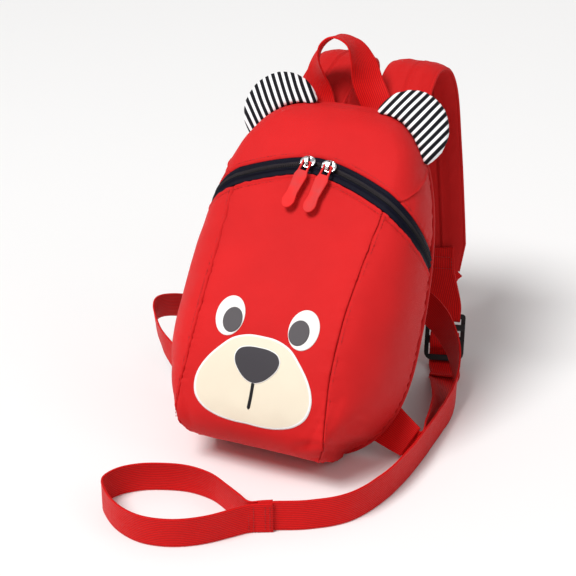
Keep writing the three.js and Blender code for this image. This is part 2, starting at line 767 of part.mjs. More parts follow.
function makeHook() {
  // Frame and ribbed swivel housing
  const frameMiddle = -swivelHeight - frameHeight / 2;
  const slotHeight = frameHeight - 2 * frameBar;
  const frame = toSolid(plate(roundedRectangle(frameWidth, frameHeight, 4, frameMiddle), hookThickness, [
    roundedRectangle(frameSlot, slotHeight, 1.5, frameMiddle).reverse(),
  ]), upright);
  const ribs = [0, 1, 2].map((i) => -2.5 - i * 4.6);
  const profile = [new THREE.Vector2(0, -swivelHeight - 1)];
  profile.push(new THREE.Vector2(swivelRadius - 1, -swivelHeight - 1));
  for (const z of ribs.reverse()) {
    profile.push(new THREE.Vector2(swivelRadius - 1, z - 1.5), new THREE.Vector2(swivelRadius, z - 1));
    profile.push(new THREE.Vector2(swivelRadius, z + 1), new THREE.Vector2(swivelRadius - 1, z + 1.5));
  }
  profile.push(new THREE.Vector2(swivelRadius - 1.5, -0.3), new THREE.Vector2(0, -0.3));
  const housing = toSolid(new THREE.LatheGeometry(profile, 14), upright);
  const bore = toSolid(cylinder(stemRadius + seamGap, 60, 16));
  const base = frame.add(housing).subtract(bore.intersect(toSolid(new THREE.BoxGeometry(30, 30, swivelHeight + frameBar + 2), moved(0, 0, -(swivelHeight + frameBar) / 2))));
  addMesh(hook, 'hook_base', fromSolid(base), blackPlastic);

  // Hook with its stem: a shank, a round eye, and a nose that the gate closes against
  const shank = 7;
  const outline = [
    [-5, 0],
    [6, 0],
    [eyeOuter - 1, 4],
    [eyeOuter, shank],
    [eyeOuter - 1.5, shank + 1],
    [eyeInner, shank + 1],
    [3.6, shank],
    [-1, shank + 2],
    [-eyeInner + 1.5, shank + 9],
    [-eyeInner, eyeHeight - 5],
    ...flatArc(0, eyeHeight, eyeInner, 180, 0, 8),
    [eyeInner + 0.4, eyeHeight - 3],
    [eyeOuter - 0.6, eyeHeight - 3.4],
    ...flatArc(0, eyeHeight, eyeOuter, 0, 180, 10),
    [-eyeOuter + 0.6, eyeHeight - 8],
    [-eyeOuter + 3, shank + 2],
    [-7, 2],
  ];
  const body = toSolid(plate(outline, hookThickness), upright);
  const stemLength = swivelHeight + frameBar + 1.6;
  const stem = toSolid(cylinder(stemRadius, stemLength + 1, 16), moved(0, 0, 1 - (stemLength + 1) / 2));
  const head = toSolid(cylinder(stemRadius + 1.4, 1.6, 16), moved(0, 0, -swivelHeight - frameBar - seamGap - 0.8));
  addMesh(hook, 'hook_body', fromSolid(body.add(stem).add(head)), blackPlastic);

  // Spring gate
  const gateFoot = shank + 1.3;
  const gateTop = eyeHeight - 3.8;
  const gateRadius = 1.9;
  const gate = plate([
    ...flatArc((eyeInner + eyeOuter) / 2 - 0.4, gateFoot + gateRadius, gateRadius, 180, 360, 6),
    [eyeOuter - 0.9, gateTop],
    [eyeInner + 0.7, gateTop],
  ], hookThickness - 1.6).applyMatrix4(upright);
  addMesh(hook, 'hook_gate', gate, blackPlastic);
}

// Leash on its edge along the floor, from the hook's frame to the stitches of the hand loop.
// The route was laid by hand: where the middle of the webbing lies, and how its width lies.
const frameFoot = hook.position.clone().add(vec(0, 0, -swivelHeight - frameHeight + frameBar / 2));
const leashJoint = vec(30, -116.6, 12.7);
const jointDirection = vec(-0.878, -0.478, 0);
const leashRoute = [
  { at: [1.1, frameFoot.y + 1, frameFoot.z - 22], side: [0, 1, 0] },
  { at: [5, frameFoot.y + 3, frameFoot.z - 32], side: [0, 1, 0.05] },
  { at: [16, 149, 86], side: [-0.1, 0.95, 0.3] },
  { at: [34, 156, 74], side: [-0.1, 0.8, 0.6] },
  { at: [57, 160, 66], side: [0, 0.5, 0.87] },
  { at: [78, 155, 55], side: [0.1, 0.2, 1] },
  { at: [95, 143, 40], side: [0.2, 0, 1] },
  { at: [106, 124, 24], side: [0.1, 0, 1] },
  { at: [111, 100, 14.5], side: [0, 0, 1] },
  { at: [112, 70, 12.7], side: [0, 0, 1] },
  { at: [112, 38, 12.7], side: [0, 0, 1] },
  { at: [111, 5, 12.7], side: [0, 0, 1] },
  { at: [105, -40, 12.7], side: [0, 0, 1] },
  { at: [91, -76, 12.7], side: [0, 0, 1] },
  { at: [68, -96.5, 12.7], side: [0, 0, 1] },
  { at: [46, -107.9, 12.7], side: [0, 0, 1] },
  { at: [35.2, -113.8, 12.7], side: [0, 0, 1] },
];

function makeLeash() {
  const turnRadius = Math.hypot(hookThickness / 2, frameBar / 2) + seamGap + webbingThickness / 2 + 0.1;
  const loop = [
    frameFoot.clone().add(vec(-1.1, 1, -21)),
    frameFoot.clone().add(vec(-3.4, 0.3, -9)),
    frameFoot.clone().add(vec(-turnRadius, 0, -3)),
    ...arc(frameFoot, xAxis, zAxis, turnRadius, 180, 0, 8),
    frameFoot.clone().add(vec(turnRadius, 0, -3)),
    frameFoot.clone().add(vec(3.4, 0.3, -9)),
  ].map((p) => ({ at: p, side: yAxis }));
  addMesh(object, 'leash', webbing([...loop, ...spaced(leashRoute, 46)]), redWebbing);
}

// Hand loop: one webbing, both of its ends stitched to the sides of the leash's end
const loopRoute = [
  [21, -129.5], [7, -145], [-13, -158], [-34, -162.5], [-54, -158], [-72, -146], [-84, -131],
  [-81, -116], [-70, -104], [-53, -95], [-33, -90], [-14, -92], [5, -101.5], [18, -109],
];

function makeHandLoop() {
  const beside = vec(jointDirection.y, -jointDirection.x, 0);
  const apart = webbingThickness + 1.6 * seamGap;
  const sewn = 17;
  const pad = (side, back) => leashJoint.clone()
    .addScaledVector(jointDirection, -back)
    .addScaledVector(beside, side * apart);
  const start = [pad(-1, sewn), pad(-1, sewn / 2), pad(-1, 0)];
  const end = [pad(1, 0), pad(1, sewn / 2), pad(1, sewn)];
  const middle = loopRoute.map(([x, y]) => vec(x, y, leashJoint.z));
  const route = [...start, ...middle, ...end].map((p) => ({ at: p.toArray(), side: [0, 0, 1] }));
  addMesh(object, 'hand_loop', webbing(spaced(route, 44)), redWebbing);
}

// Shoulder straps: sewn below the rim of the back, they rise, fold over and hang to the floor
const strapRoute = [
  { at: [38, 131.6, 198.5], side: [1, 0, 0] },
  { at: [38, 142, 212], side: [1, 0, 0] },
  { at: [35.5, 160, 232], side: [1, 0, 0] },
  { at: [32.5, 183, 249], side: [1, 0, 0] },
  { at: [31, 207, 255], side: [1, 0, 0] },
  { at: [32, 227, 249], side: [1, 0.02, 0] },
  { at: [35, 237, 230], side: [1, 0.05, 0] },
  { at: [42, 234, 180], side: [1, 0.1, 0] },
  { at: [51, 223, 122], side: [1, 0.2, 0] },
  { at: [60, 208, 73], side: [1, 0.28, 0] },
];
const strapEnd = vec(...strapRoute[strapRoute.length - 1].at);

const strapSection = [
  [-0.5, 0], [-0.47, -0.36], [-0.34, -0.5], [0, -0.56], [0.34, -0.5], [0.47, -0.36],
  [0.5, 0], [0.47, 0.36], [0.34, 0.5], [0, 0.56], [-0.34, 0.5], [-0.47, 0.36],
].map(([a, b]) => [a * strapWidth, b * strapPadding]);

function strapScale(share) {
  const root = Math.min(1, 0.3 + share / 0.12);
  const end = Math.min(1, 0.62 + (1 - share) / 0.16);
  const wide = Math.min(1, 0.74 + (1 - share) / 0.3);
  return [Math.min(wide, 0.9 + share), Math.min(root, end)];
}

function addBothSides(name, geometry, material) {
  addMesh(object, `${name}_right`, geometry, material);
  addMesh(object, `${name}_left`, mirroredGeometry(geometry), material);
}

function makeShoulderStraps() {
  const geometry = carried(spaced(strapRoute, 24), strapSection, strapScale);
  addBothSides('shoulder_strap', geometry, redCloth);
}

// Ladder locks at the straps' ends. In a lock's own frame x lies across the webbing, y runs up
// to the strap and z points to the front of the bag.
const lockSide = vec(1, 0.28, 0).normalize();
const lockAxis = vec(-0.118, 0.42, 0.9).normalize();
const lockFront = new THREE.Vector3().crossVectors(lockSide, lockAxis);
const lockMiddle = vec(75, 183, 24.6);
const lockFrame = new THREE.Matrix4().makeBasis(lockSide, lockAxis, lockFront).setPosition(lockMiddle);
const inLock = (x, y, z) => vec(x, y, z).applyMatrix4(lockFrame);
const lockBars = { top: 17.5, middle: -2.5, bottom: -17.5 };

function makeLadderLocks() {
  const outline = [
    ...flatArc(lockWidth / 2 - 3, lockLength / 2 - 3, 3, 0, 90, 3),
    ...flatArc(-lockWidth / 2 + 3, lockLength / 2 - 3, 3, 90, 180, 3),
    ...flatArc(-lockWidth / 2 + 7, -lockLength / 2 + 7, 7, 180, 270, 4),
    ...flatArc(lockWidth / 2 - 7, -lockLength / 2 + 7, 7, 270, 360, 4),
  ];
  const slot = (low, high) => [
    [-lockSlot / 2, low], [-lockSlot / 2, high], [lockSlot / 2, high], [lockSlot / 2, low],
  ];
  const body = toSolid(plate(outline, lockThickness, [slot(10.5, 16), slot(0.8, 6.3), slot(-15.5, -6)]));
  const cover = toSolid(new THREE.BoxGeometry(lockWidth - 1, 5.4, 2.4), moved(0, 8.6, lockThickness / 2 + 1));
  const ridge = toSolid(new THREE.BoxGeometry(lockSlot + 2, 1.2, 1.6), moved(0, lockBars.middle, lockThickness / 2 + 0.4));
  const geometry = fromSolid(body.add(cover).add(ridge)).applyMatrix4(lockFrame);
  addBothSides('ladder_lock', geometry, blackPlastic);
}

// Webbing that joins each padded strap to its lock: both ends are sewn on the strap's end, one
// before it and one behind it, with the fold round the lock's top bar
function makeStrapTabs() {
  const turnRadius = 4;
  const bar = inLock(0, lockBars.top + 0.75, 0);
  const up = vec(...strapRoute[strapRoute.length - 2].at).sub(strapEnd).normalize();
  const front = new THREE.Vector3().crossVectors(lockSide, up).normalize();
  const layer = 0.56 * 0.62 * strapPadding + seamGap + webbingThickness / 2 + 0.4;
  const points = [
    strapEnd.clone().addScaledVector(up, 22).addScaledVector(front, layer + 2),
    strapEnd.clone().addScaledVector(up, 10).addScaledVector(front, layer + 1),
    strapEnd.clone().addScaledVector(up, -1).addScaledVector(front, layer),
    bar.clone().addScaledVector(lockAxis, 8).addScaledVector(lockFront, turnRadius),
    ...arc(bar, lockFront, lockAxis, turnRadius, 0, -180, 8),
    bar.clone().addScaledVector(lockAxis, 8).addScaledVector(lockFront, -turnRadius),
    strapEnd.clone().addScaledVector(up, -1).addScaledVector(front, -layer),
    strapEnd.clone().addScaledVector(up, 10).addScaledVector(front, -layer - 1),
    strapEnd.clone().addScaledVector(up, 22).addScaledVector(front, -layer - 2),
  ];
  const rows = points.map((p) => ({ at: p, side: lockSide }));
  addBothSides('strap_tab', webbing(rows), redWebbing);
}

// Lower webbing: from a corner tab of the bag along the floor, under the lock, up behind it,
// over its middle bar and back under itself to a short free end
const cornerSide = vec(0.42, 0, 0.91).applyAxisAngle(xAxis, -lean);
const cornerRows = [vec(92, 7.6, 32.2), vec(105, 9.5, 26.2)].map((p) => ({
  at: toWorld(p).toArray(),
  side: cornerSide.toArray(),
}));
const cornerLeft = [vec(-89, 8.6, 33), vec(-98, 14, 29.5)].map((p) => ({
  at: toWorld(p).toArray(),
  side: [-cornerSide.x, cornerSide.y, cornerSide.z],
}));
const lowerRoutes = {
  right: [
    ...cornerRows,
    { at: [106.5, 46, 13.4], side: [0.05, 0.1, 1] },
    { at: [102, 82, 13], side: [-0.2, 0.1, 0.97] },
    { at: [94, 120, 10.5], side: [-0.75, -0.1, 0.65] },
    { at: [87, 146, 3.6], side: [-1, -0.25, 0.2] },
  ],
  left: [
    ...cornerLeft,
    { at: [-113, 47, 23.5], side: [-0.1, 0.1, 1] },
    { at: [-140, 67, 34], side: [0, -0.2, 1] },
    { at: [-160, 97, 43], side: [0.1, -0.3, 0.95] },
    { at: [-147, 128, 34], side: [0.3, -0.1, 0.95] },
    { at: [-121, 144, 15], side: [0.7, -0.3, 0.6] },
    { at: [-98, 150, 5.5], side: [0.85, -0.5, 0.05] },
  ],
};

function makeLowerWebbing() {
  const mirror = new THREE.Matrix4().makeScale(-1, 1, 1);
  for (const name of ['right', 'left']) {
    const place = (x, y, z) => (name === 'right' ? inLock(x, y, z) : inLock(x, y, z).applyMatrix4(mirror));
    const side = name === 'right' ? lockSide.clone().negate() : lockSide.clone().applyMatrix4(mirror).negate();
    const under = name === 'right' ? vec(84.5, 161, 1.1) : vec(-85, 160, 1.6);
    const underSide = name === 'right' ? side : vec(0.85, -0.45, -0.1);
    const inner = [
      place(0, -24.6, -0.5), place(0, -24.2, -3.5), place(0, -21.5, -5.8), place(0, -14, -6.2),
      place(0, -5, -5.6), place(0, 1.4, -3.6), place(0, 3.4, -1), place(0, 3.2, 2.2), place(0, 1, 4.2),
      place(0, -2.5, 4.8), place(0, -6, 4.2), place(0, -8.6, 2), place(0, -9.6, -0.6),
      place(0, -12, -2.6), place(0, -17, -3.9), place(0, -20.4, -3.6), place(0, -22, -1.4),
    ];
    const tail = name === 'right' ? [vec(84, 161, 3.4), vec(85.5, 153, 4.8), vec(87.5, 146, 8)] : [vec(-84, 161, 3.4), vec(-86.5, 154, 5), vec(-93, 148.5, 9)];
    const rows = [
      ...spaced(lowerRoutes[name], 16).slice(0, -1),
      { at: under, side: underSide },
      ...inner.map((p) => ({ at: p, side })),
      ...tail.map((p) => ({ at: p, side })),
    ];
    addMesh(object, `lower_webbing_${name}`, webbing(rows), redWebbing);
  }
}

// Corner tabs: folded webbing sewn on the back, that narrows to the lower webbing
function makeWingTabs() {
  const ends = {
    right: [[88, 5.1, 34.2], [103, 5.3, 27.3]],
    left: [[-86.5, 5.6, 34.8], [-97, 9.6, 30.2]],
  };
  for (const [name, end] of Object.entries(ends)) {
    const direction = name === 'right' ? 1 : -1;
    const places = [
      onBack(direction * 62, 46, 1.5).toArray(),
      onBack(direction * 76, 40, 1.6).toArray(),
      ...end,
    ];
    const rows = spaced(places.map((at) => ({ at, side: [direction * 0.42, 0, 0.91] })), 8);
    const geometry = carried(rows, rectangle(27, 1.8), (share) => [1.5 - 0.5 * share, 1]);
    addMesh(bag, `wing_tab_${name}`, geometry, redWebbing);
  }
}

// Ears: round pillows that stand on the rim and follow the bag's surface
function bagEnvelope(clear) {
  const across = steps(-1, 1, 36);
  const sections = [0.5, 0.6, 0.7, 0.78, 0.84, 0.89, 0.93, 0.955, 0.975, rimTop, 1].map((up) => {
    const front = across.map((a) => skinPoint(up, a, clear));
    const last = front[front.length - 1];
    return [...front, vec(last.x, 6, last.z), vec(front[0].x, 6, front[0].z)];
  });
  return toSolid(loft(sections));
}

function makeEars() {
  const reach = (x) => {
    const share = x / halfWidth;
    const high = (1 - share ** rimUpper.across) ** (1 / rimUpper.along);
    return vec(x, 0, bagHeight * (rimWidest + (1 - rimWidest) * high));
  };
  const inner = reach(earInner);
  const outer = reach(earOuter);
  const chord = outer.clone().sub(inner);
  const tilt = Math.atan2(-chord.z, chord.x);
  const out = vec(Math.sin(tilt), 0, Math.cos(tilt));
  const centre = inner.clone().add(outer).multiplyScalar(0.5).addScaledVector(out, earHeight - earWidth / 2 + 1);
  centre.y = -earThickness / 2 - 1.4;
  const pillow = new THREE.SphereGeometry(1, 22, 12);
  const places = pillow.attributes.position;
  for (let i = 0; i < places.count; i += 1) {
    const p = new THREE.Vector3().fromBufferAttribute(places, i);
    const thick = Math.sign(p.z) * Math.abs(p.z) ** 0.8;
    const place = vec(p.x * earWidth / 2, -thick * earThickness / 2, p.y * (earWidth / 2 - 1));
    place.applyAxisAngle(yAxis, tilt).add(centre);
    places.setXYZ(i, place.x, place.y, place.z);
  }
  const ear = toSolid(pillow).subtract(bagEnvelope(seamGap + 0.15));
  const geometry = fromSolid(ear.simplify(0.02));
  addMesh(bag, 'ear_right', geometry, stripedCloth);
  addMesh(bag, 'ear_left', mirroredGeometry(geometry), stripedCloth);
}

// Printed face: thin prints on the front panel
function onFace(x, z, lift) {
  const up = z / bagHeight;
  const edge = bagPoint(up, seamPlace).x;
  return skinPoint(up, (seamPlace * x) / edge, lift);
}

const printThickness = 0.5;

function printed(name, outline, middle, lift, material, rings = 3) {
  const points = [];
  const triangles = [];
  const count = outline.length;
  for (const level of [lift + printThickness, lift]) {
    for (let ring = 1; ring <= rings; ring += 1) {
      for (const [x, z] of outline) {
        const share = ring / rings;
        points.push(onFace(middle[0] + (x - middle[0]) * share, middle[1] + (z - middle[1]) * share, level));
      }
    }
    points.push(onFace(middle[0], middle[1], level));
  }
  const side = count * rings + 1;
  for (const start of [0, side]) {
    const add = (a, b, c) => triangles.push(start === 0 ? [a, b, c] : [a, c, b]);
    for (let i = 0; i < count; i += 1) {
      const j = (i + 1) % count;
      add(start + side - 1, start + i, start + j);
      for (let ring = 0; ring < rings - 1; ring += 1) {
        const inner = start + ring * count;
        add(inner + i, inner + count + i, inner + count + j);
        add(inner + i, inner + count + j, inner + j);
      }
    }
  }
  const edge = (rings - 1) * count;
  for (let i = 0; i < count; i += 1) {
    const j = (i + 1) % count;
    triangles.push([edge + i, side + edge + i, side + edge + j], [edge + i, side + edge + j, edge + j]);
  }
  addMesh(bag, name, closedGeometry(points, triangles), material);
}

// Half outlines of the muzzle and of the nose, from the top down, in millimetres
const muzzleRows = [
  { out: 0, high: 85 }, { out: 12, high: 84.2 }, { out: 24, high: 79.5 }, { out: 34, high: 70 },
  { out: 42, high: 60 }, { out: 47, high: 50 }, { out: 48.5, high: 41 }, { out: 46, high: 31 },
  { out: 38, high: 23.5 }, { out: 26, high: 19.2 }, { out: 12, high: 17.8 }, { out: 0, high: 18 },
];
const noseRows = [
  { out: 0, high: 76 }, { out: 9, high: 75.4 }, { out: 15.5, high: 72.6 }, { out: 18, high: 68 },
  { out: 16.5, high: 63 }, { out: 11, high: 56 }, { out: 5, high: 49.5 }, { out: 0, high: 47 },
];
const eyeShape = { out: 30.4, high: 95.5, wide: 24, tall: 31 };
const pupilShape = { out: 27.4, high: 92.8, wide: 16, tall: 19.5 };
const mouthShape = { top: 46, bottom: 29.5, wide: 1.8 };
const firstLift = 0.45;
const secondLift = firstLift + printThickness + seamGap;

const wholeOutline = (rows) => [
  ...rows.map((row) => [row.out, row.high]),
  ...rows.slice(1, -1).reverse().map((row) => [-row.out, row.high]),
];

const oval = (side, { out, high, wide, tall }) =>
  flatArc(0, 0, 1, 0, 342, 19).map(([a, b]) => [side * out + a * wide / 2, high + b * tall / 2]);

function makeFace() {
  printed('muzzle', wholeOutline(muzzleRows), [0, 50], firstLift, creamPrint, 4);
  printed('nose', wholeOutline(noseRows), [0, 66], secondLift, nosePrint, 2);
  const line = [mouthShape.bottom, 35, 40.5, mouthShape.top].map((z) => [
    onFace(-mouthShape.wide / 2, z, secondLift),
    onFace(mouthShape.wide / 2, z, secondLift),
    onFace(-mouthShape.wide / 2, z, secondLift + printThickness),
    onFace(mouthShape.wide / 2, z, secondLift + printThickness),
  ]);
  addMesh(bag, 'mouth', sheet(line.map((p) => [p[2], p[3]]), line.map((p) => [p[0], p[1]])), nosePrint);
  for (const [name, side] of [['left', -1], ['right', 1]]) {
    printed(`eye_${name}`, oval(side, eyeShape), [side * eyeShape.out, eyeShape.high], firstLift, whitePrint, 2);
    printed(`pupil_${name}`, oval(side, pupilShape), [side * pupilShape.out, pupilShape.high], secondLift, greyPrint, 2);
  }
}

// Two zip sliders with their pulls. In a slider's own frame x runs along the zip, y up across
// it and z away from the cloth.
const sliderPlaces = {
  left: { x: -6, turn: -16 },
  right: { x: 12, turn: 3 },
};

function makeSliders() {
  for (const [name, place] of Object.entries(sliderPlaces)) {
    const across = (seamPlace * place.x) / bagPoint(0.8, seamPlace).x;
    const level = seamGap - tapeSunk + coilHeight + seamGap + 0.1;
    const at = (a, up) => skinPoint(up, a, level);
    const middle = at(across, zipMiddle(across));
    const along = at(across + 0.04, zipMiddle(across + 0.04)).sub(at(across - 0.04, zipMiddle(across - 0.04))).normalize();
    const rise = at(across, zipMiddle(across) + 0.02).sub(at(across, zipMiddle(across) - 0.02));
    const out = new THREE.Vector3().crossVectors(along, rise).normalize();
    if (out.y > 0) {
      out.negate();
    }
    const cross = new THREE.Vector3().crossVectors(out, along);
    const slider = new THREE.Group();
    slider.applyMatrix4(new THREE.Matrix4().makeBasis(along, cross, out).setPosition(middle));
    bag.add(slider);
    const plateShape = flatArc(0, 0, 1, 0, 340, 17).map(([a, b]) => [a * sliderLength / 1.6, b * sliderWidth / 1.6]);
    const body = toSolid(plate(plateShape, sliderHeight - 0.8), moved(0, 0, (sliderHeight - 0.8) / 2));
    const base = sliderHeight - 0.9;
    const archProfile = [
      [-bridgeHeight - 0.8, 0], [-bridgeHeight - 0.2, 0.62 * bridgeHeight], [-2, bridgeHeight],
      [2, bridgeHeight], [bridgeHeight + 0.2, 0.62 * bridgeHeight], [bridgeHeight + 0.8, 0],
      [bridgeHeight - 0.5, 0], [bridgeHeight - 0.7, 0.5 * bridgeHeight], [1.7, bridgeHeight - bridgeWire],
      [-1.7, bridgeHeight - bridgeWire], [-bridgeHeight + 0.7, 0.5 * bridgeHeight], [-bridgeHeight + 0.5, 0],
    ];
    const arch = toSolid(
      plate(archProfile, 2.6),
      moved(0, 0, base).multiply(new THREE.Matrix4().makeBasis(yAxis, zAxis, xAxis)),
    );
    addMesh(slider, `slider_${name}`, fromSolid(body.add(arch)), silverMetal);
    const pull = new THREE.Group();
    pull.position.set(0, -0.9, base + pullLift);
    pull.rotation.z = THREE.MathUtils.degToRad(place.turn);
    slider.add(pull);
    const half = pullWidth / 2;
    const neck = 3.9;
    const outline = [
      [-neck, 0.7], [-neck, -7], [-half + 0.5, -10], [-half + 0.9, -pullLength + 10],
      ...flatArc(0, -pullLength + half + 0.4, half + 0.4, 180, 360, 10),
      [half - 0.9, -pullLength + 10], [half - 0.5, -10], [neck, -7], [neck, 0.7],
    ];
    const eye = [[-2.4, -0.7], [2.4, -0.7], [2.4, -6.6], [-2.4, -6.6]];
    addMesh(pull, `pull_${name}`, plate(outline.reverse(), pullThickness, [eye.reverse()]), redRubber);
  }
}

// Chest strap between the ends of the shoulder straps, with its side-release buckle fastened.
// In the buckle's own frame x runs along the strap, y up its width and z through it.
const buckle = new THREE.Group();
buckle.position.set(strapEnd.x - 56, strapEnd.y + 10.5, strapEnd.z - 15);
buckle.rotation.set(Math.PI / 2, 0, 0);
object.add(buckle);
const endFrame = 11;
const endBar = 3;
const endThickness = 4;
const chestSlot = chestWidth + 1.4;

function buckleEnd(from, direction) {
  const half = buckleWidth / 2 - 2;
  const x = (share) => from + direction * share;
  const outline = [[x(-1), -half], [x(endFrame - 2), -half], [x(endFrame), -half + 2], [x(endFrame), half - 2], [x(endFrame - 2), half], [x(-1), half]];
  const slot = [[x(3), -chestSlot / 2], [x(endFrame - endBar), -chestSlot / 2], [x(endFrame - endBar), chestSlot / 2], [x(3), chestSlot / 2]];
  return direction > 0
    ? toSolid(plate(outline, endThickness, [slot.reverse()]))
    : toSolid(plate(outline.reverse(), endThickness, [slot]));
}

function makeBuckle() {
  const outline = [
    ...flatArc(buckleLength - 4, -buckleWidth / 2 + 4, 4, -90, 0, 3),
    ...flatArc(buckleLength - 4, buckleWidth / 2 - 4, 4, 0, 90, 3),
    ...flatArc(3, buckleWidth / 2 - 3, 3, 90, 180, 3),
    ...flatArc(3, -buckleWidth / 2 + 3, 3, 180, 270, 3),
  ];
  const body = toSolid(plate(outline, buckleThickness));
  const mouth = toSolid(new THREE.BoxGeometry(2 * (buckleLength - 7), 23, 5.2));
  const female = body.subtract(mouth).add(buckleEnd(buckleLength, 1));
  addMesh(buckle, 'buckle_female', fromSolid(female), blackPlastic);
  const shoulder = [[-seamGap, -13], [-seamGap, 13], [-6, 14.5], [-12, 13.5], [-12, -13.5], [-6, -14.5]];
  const block = toSolid(plate(shoulder, buckleThickness - 1));
  const tongue = toSolid(new THREE.BoxGeometry(buckleLength - 8, 21.6, 4.2), moved((buckleLength - 10) / 2, 0, 0));
  const male = block.add(tongue).add(buckleEnd(-12, -1));
  addMesh(buckle, 'buckle_male', fromSolid(male), blackPlastic);
}

function makeChestStraps() {
  const turnRadius = 3.7;
  const bars = {
    right: vec(buckleLength + endFrame - endBar / 2, 0, 0),
    left: vec(-12 - endFrame + endBar / 2, 0, 0),
  };
  buckle.updateMatrixWorld(true);
  for (const [name, bar] of Object.entries(bars)) {
    const direction = name === 'right' ? 1 : -1;
    const centre = bar.applyMatrix4(buckle.matrixWorld);
    const inward = vec(-direction, 0, 0);
    const folded = [
      centre.clone().add(vec(direction * 13, 1.4, 0)),
      centre.clone().add(vec(direction * 8, 2.4, 0)),
      ...arc(centre, yAxis, inward, turnRadius, 0, 180, 8),
      centre.clone().add(vec(direction * 8, -2, 0)),
    ].map((p) => ({ at: p, side: zAxis }));
    const reach = direction * (strapEnd.x + 9);
    const start = centre.x + direction * 13;
    const between = (share) => start + (reach - start) * share;
    const route = [
      { at: [start, centre.y - 0.8, centre.z + 1], side: [0, 0, 1] },
      { at: [between(0.45), centre.y - 0.4, centre.z + 5], side: [direction * -0.1, 0, 1] },
      { at: [between(0.72), centre.y + 0.9, centre.z + 10], side: [direction * -0.1, 0, 1] },
      { at: [reach, centre.y + 2.9, centre.z + 14], side: [direction * -0.1, 0, 1] },
    ];
    const geometry = webbing([...folded, ...spaced(route, 8)], chestWidth);
    addMesh(object, `chest_strap_${name}`, geometry, redWebbing);
  }
}

makeFrontPanel();
makeGussets();
makeZip();
makeTop();
makePiping();
makeBackPanel();
makeBackBand();
makeGrabHandle();
makeRingTab();
makeRing();
makeHook();
makeLeash();
makeHandLoop();
makeShoulderStraps();
makeLadderLocks();
makeStrapTabs();
makeLowerWebbing();
makeWingTabs();
makeEars();
makeFace();
makeSliders();
makeBuckle();
makeChestStraps();

export default object;
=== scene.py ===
import math

import bmesh
import bpy
import numpy as np
from bpy.props import FloatProperty, FloatVectorProperty, PointerProperty
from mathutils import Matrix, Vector


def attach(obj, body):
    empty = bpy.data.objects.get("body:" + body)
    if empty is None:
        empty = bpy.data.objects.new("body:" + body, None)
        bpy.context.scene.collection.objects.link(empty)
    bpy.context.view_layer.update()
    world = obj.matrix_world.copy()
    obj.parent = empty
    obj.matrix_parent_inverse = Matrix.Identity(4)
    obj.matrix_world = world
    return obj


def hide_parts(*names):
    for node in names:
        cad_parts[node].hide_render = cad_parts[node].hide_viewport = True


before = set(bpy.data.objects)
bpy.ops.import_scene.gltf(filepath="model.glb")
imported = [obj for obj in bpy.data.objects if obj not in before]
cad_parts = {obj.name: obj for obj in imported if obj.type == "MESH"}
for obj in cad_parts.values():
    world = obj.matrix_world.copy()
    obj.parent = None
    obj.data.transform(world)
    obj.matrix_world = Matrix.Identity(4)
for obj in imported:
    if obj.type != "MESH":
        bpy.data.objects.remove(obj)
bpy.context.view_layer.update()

bl_info = {
    "name": "Toddler harness backpack",
    "version": (1, 0, 0),
    "blender": (4, 5, 0),
    "location": "View3D > Sidebar > Backpack",
    "description": "Builds the cloth, webbing, zip, stitches and stage of a toddler harness backpack",
    "category": "Add Mesh",
}

MM = 0.001
SIDES = (("right", 1), ("left", -1))
OUT, AHEAD, UP = np.eye(3)

# Shape of the bag, in millimetres, as in the part's own source
BAG_HEIGHT = 280.0
BAG_DEPTH = 87.0
HALF_WIDTH = 95.0
LEAN = math.radians(30)
REST_FORWARD = 4.0
REST_SINK = 5.0
FOOT_RADIUS = 19.0
SIDE_ROUND = 9.0
SIDE_BULGE = 4.0
FACE_CROWN = 2.6
SEAM_GAP = 0.3
SEAM_PLACE = 0.5
ZIP_CENTRE = 230.0
ZIP_END = 176.0
ZIP_BEND = 1.6
TAPE_WIDTH = 14.0
PIPING_RADIUS = 2.0
PANEL_INSET = 3.3
PANEL_EDGE = 3.6
PANEL_PAD = 5.5
STRAP_SEAM = 247.0
BAND_HEIGHT = 42.0
YOKE_PLACE = 0.6
YOKE_TOP = 0.86
RIM_FORWARD = 1.1
RIM_WIDEST = 0.357
RIM_TOP = 0.988
RIM_LOWER = (2.6, 2.85)
RIM_UPPER = (2.2, 3.33)
RIM_CUT = (REST_SINK + PIPING_RADIUS + 0.6) / math.cos(LEAN) - 0.6
RIM_BOTTOM = RIM_CUT / BAG_HEIGHT
SECTION_UP = np.array([0, 0.12, 0.24, 0.38, 0.5, 0.62, 0.72, 0.82, 0.92, 0.975, 1.0])
SECTION_DEPTH = np.array([0.87, 0.975, 1, 0.945, 0.845, 0.735, 0.645, 0.557, 0.414, 0.218, 0.01])
SECTION_SEAM = np.array([0.66, 0.64, 0.615, 0.61, 0.625, 0.65, 0.67, 0.66, 0.52, 0.36, 0.26])


def unit(v):
    """Directions made one long."""
    return v / np.linalg.norm(v, axis=-1, keepdims=True)


def bell(distance, width, power=2):
    """A bump of height one: e to the minus (distance / width) ^ power."""
    return np.exp(-((distance / width) ** power))


def climb(value, start, length):
    """Climbs from 0 to 1 over a length from its start."""
    return np.clip((value - start) / length, 0, 1)


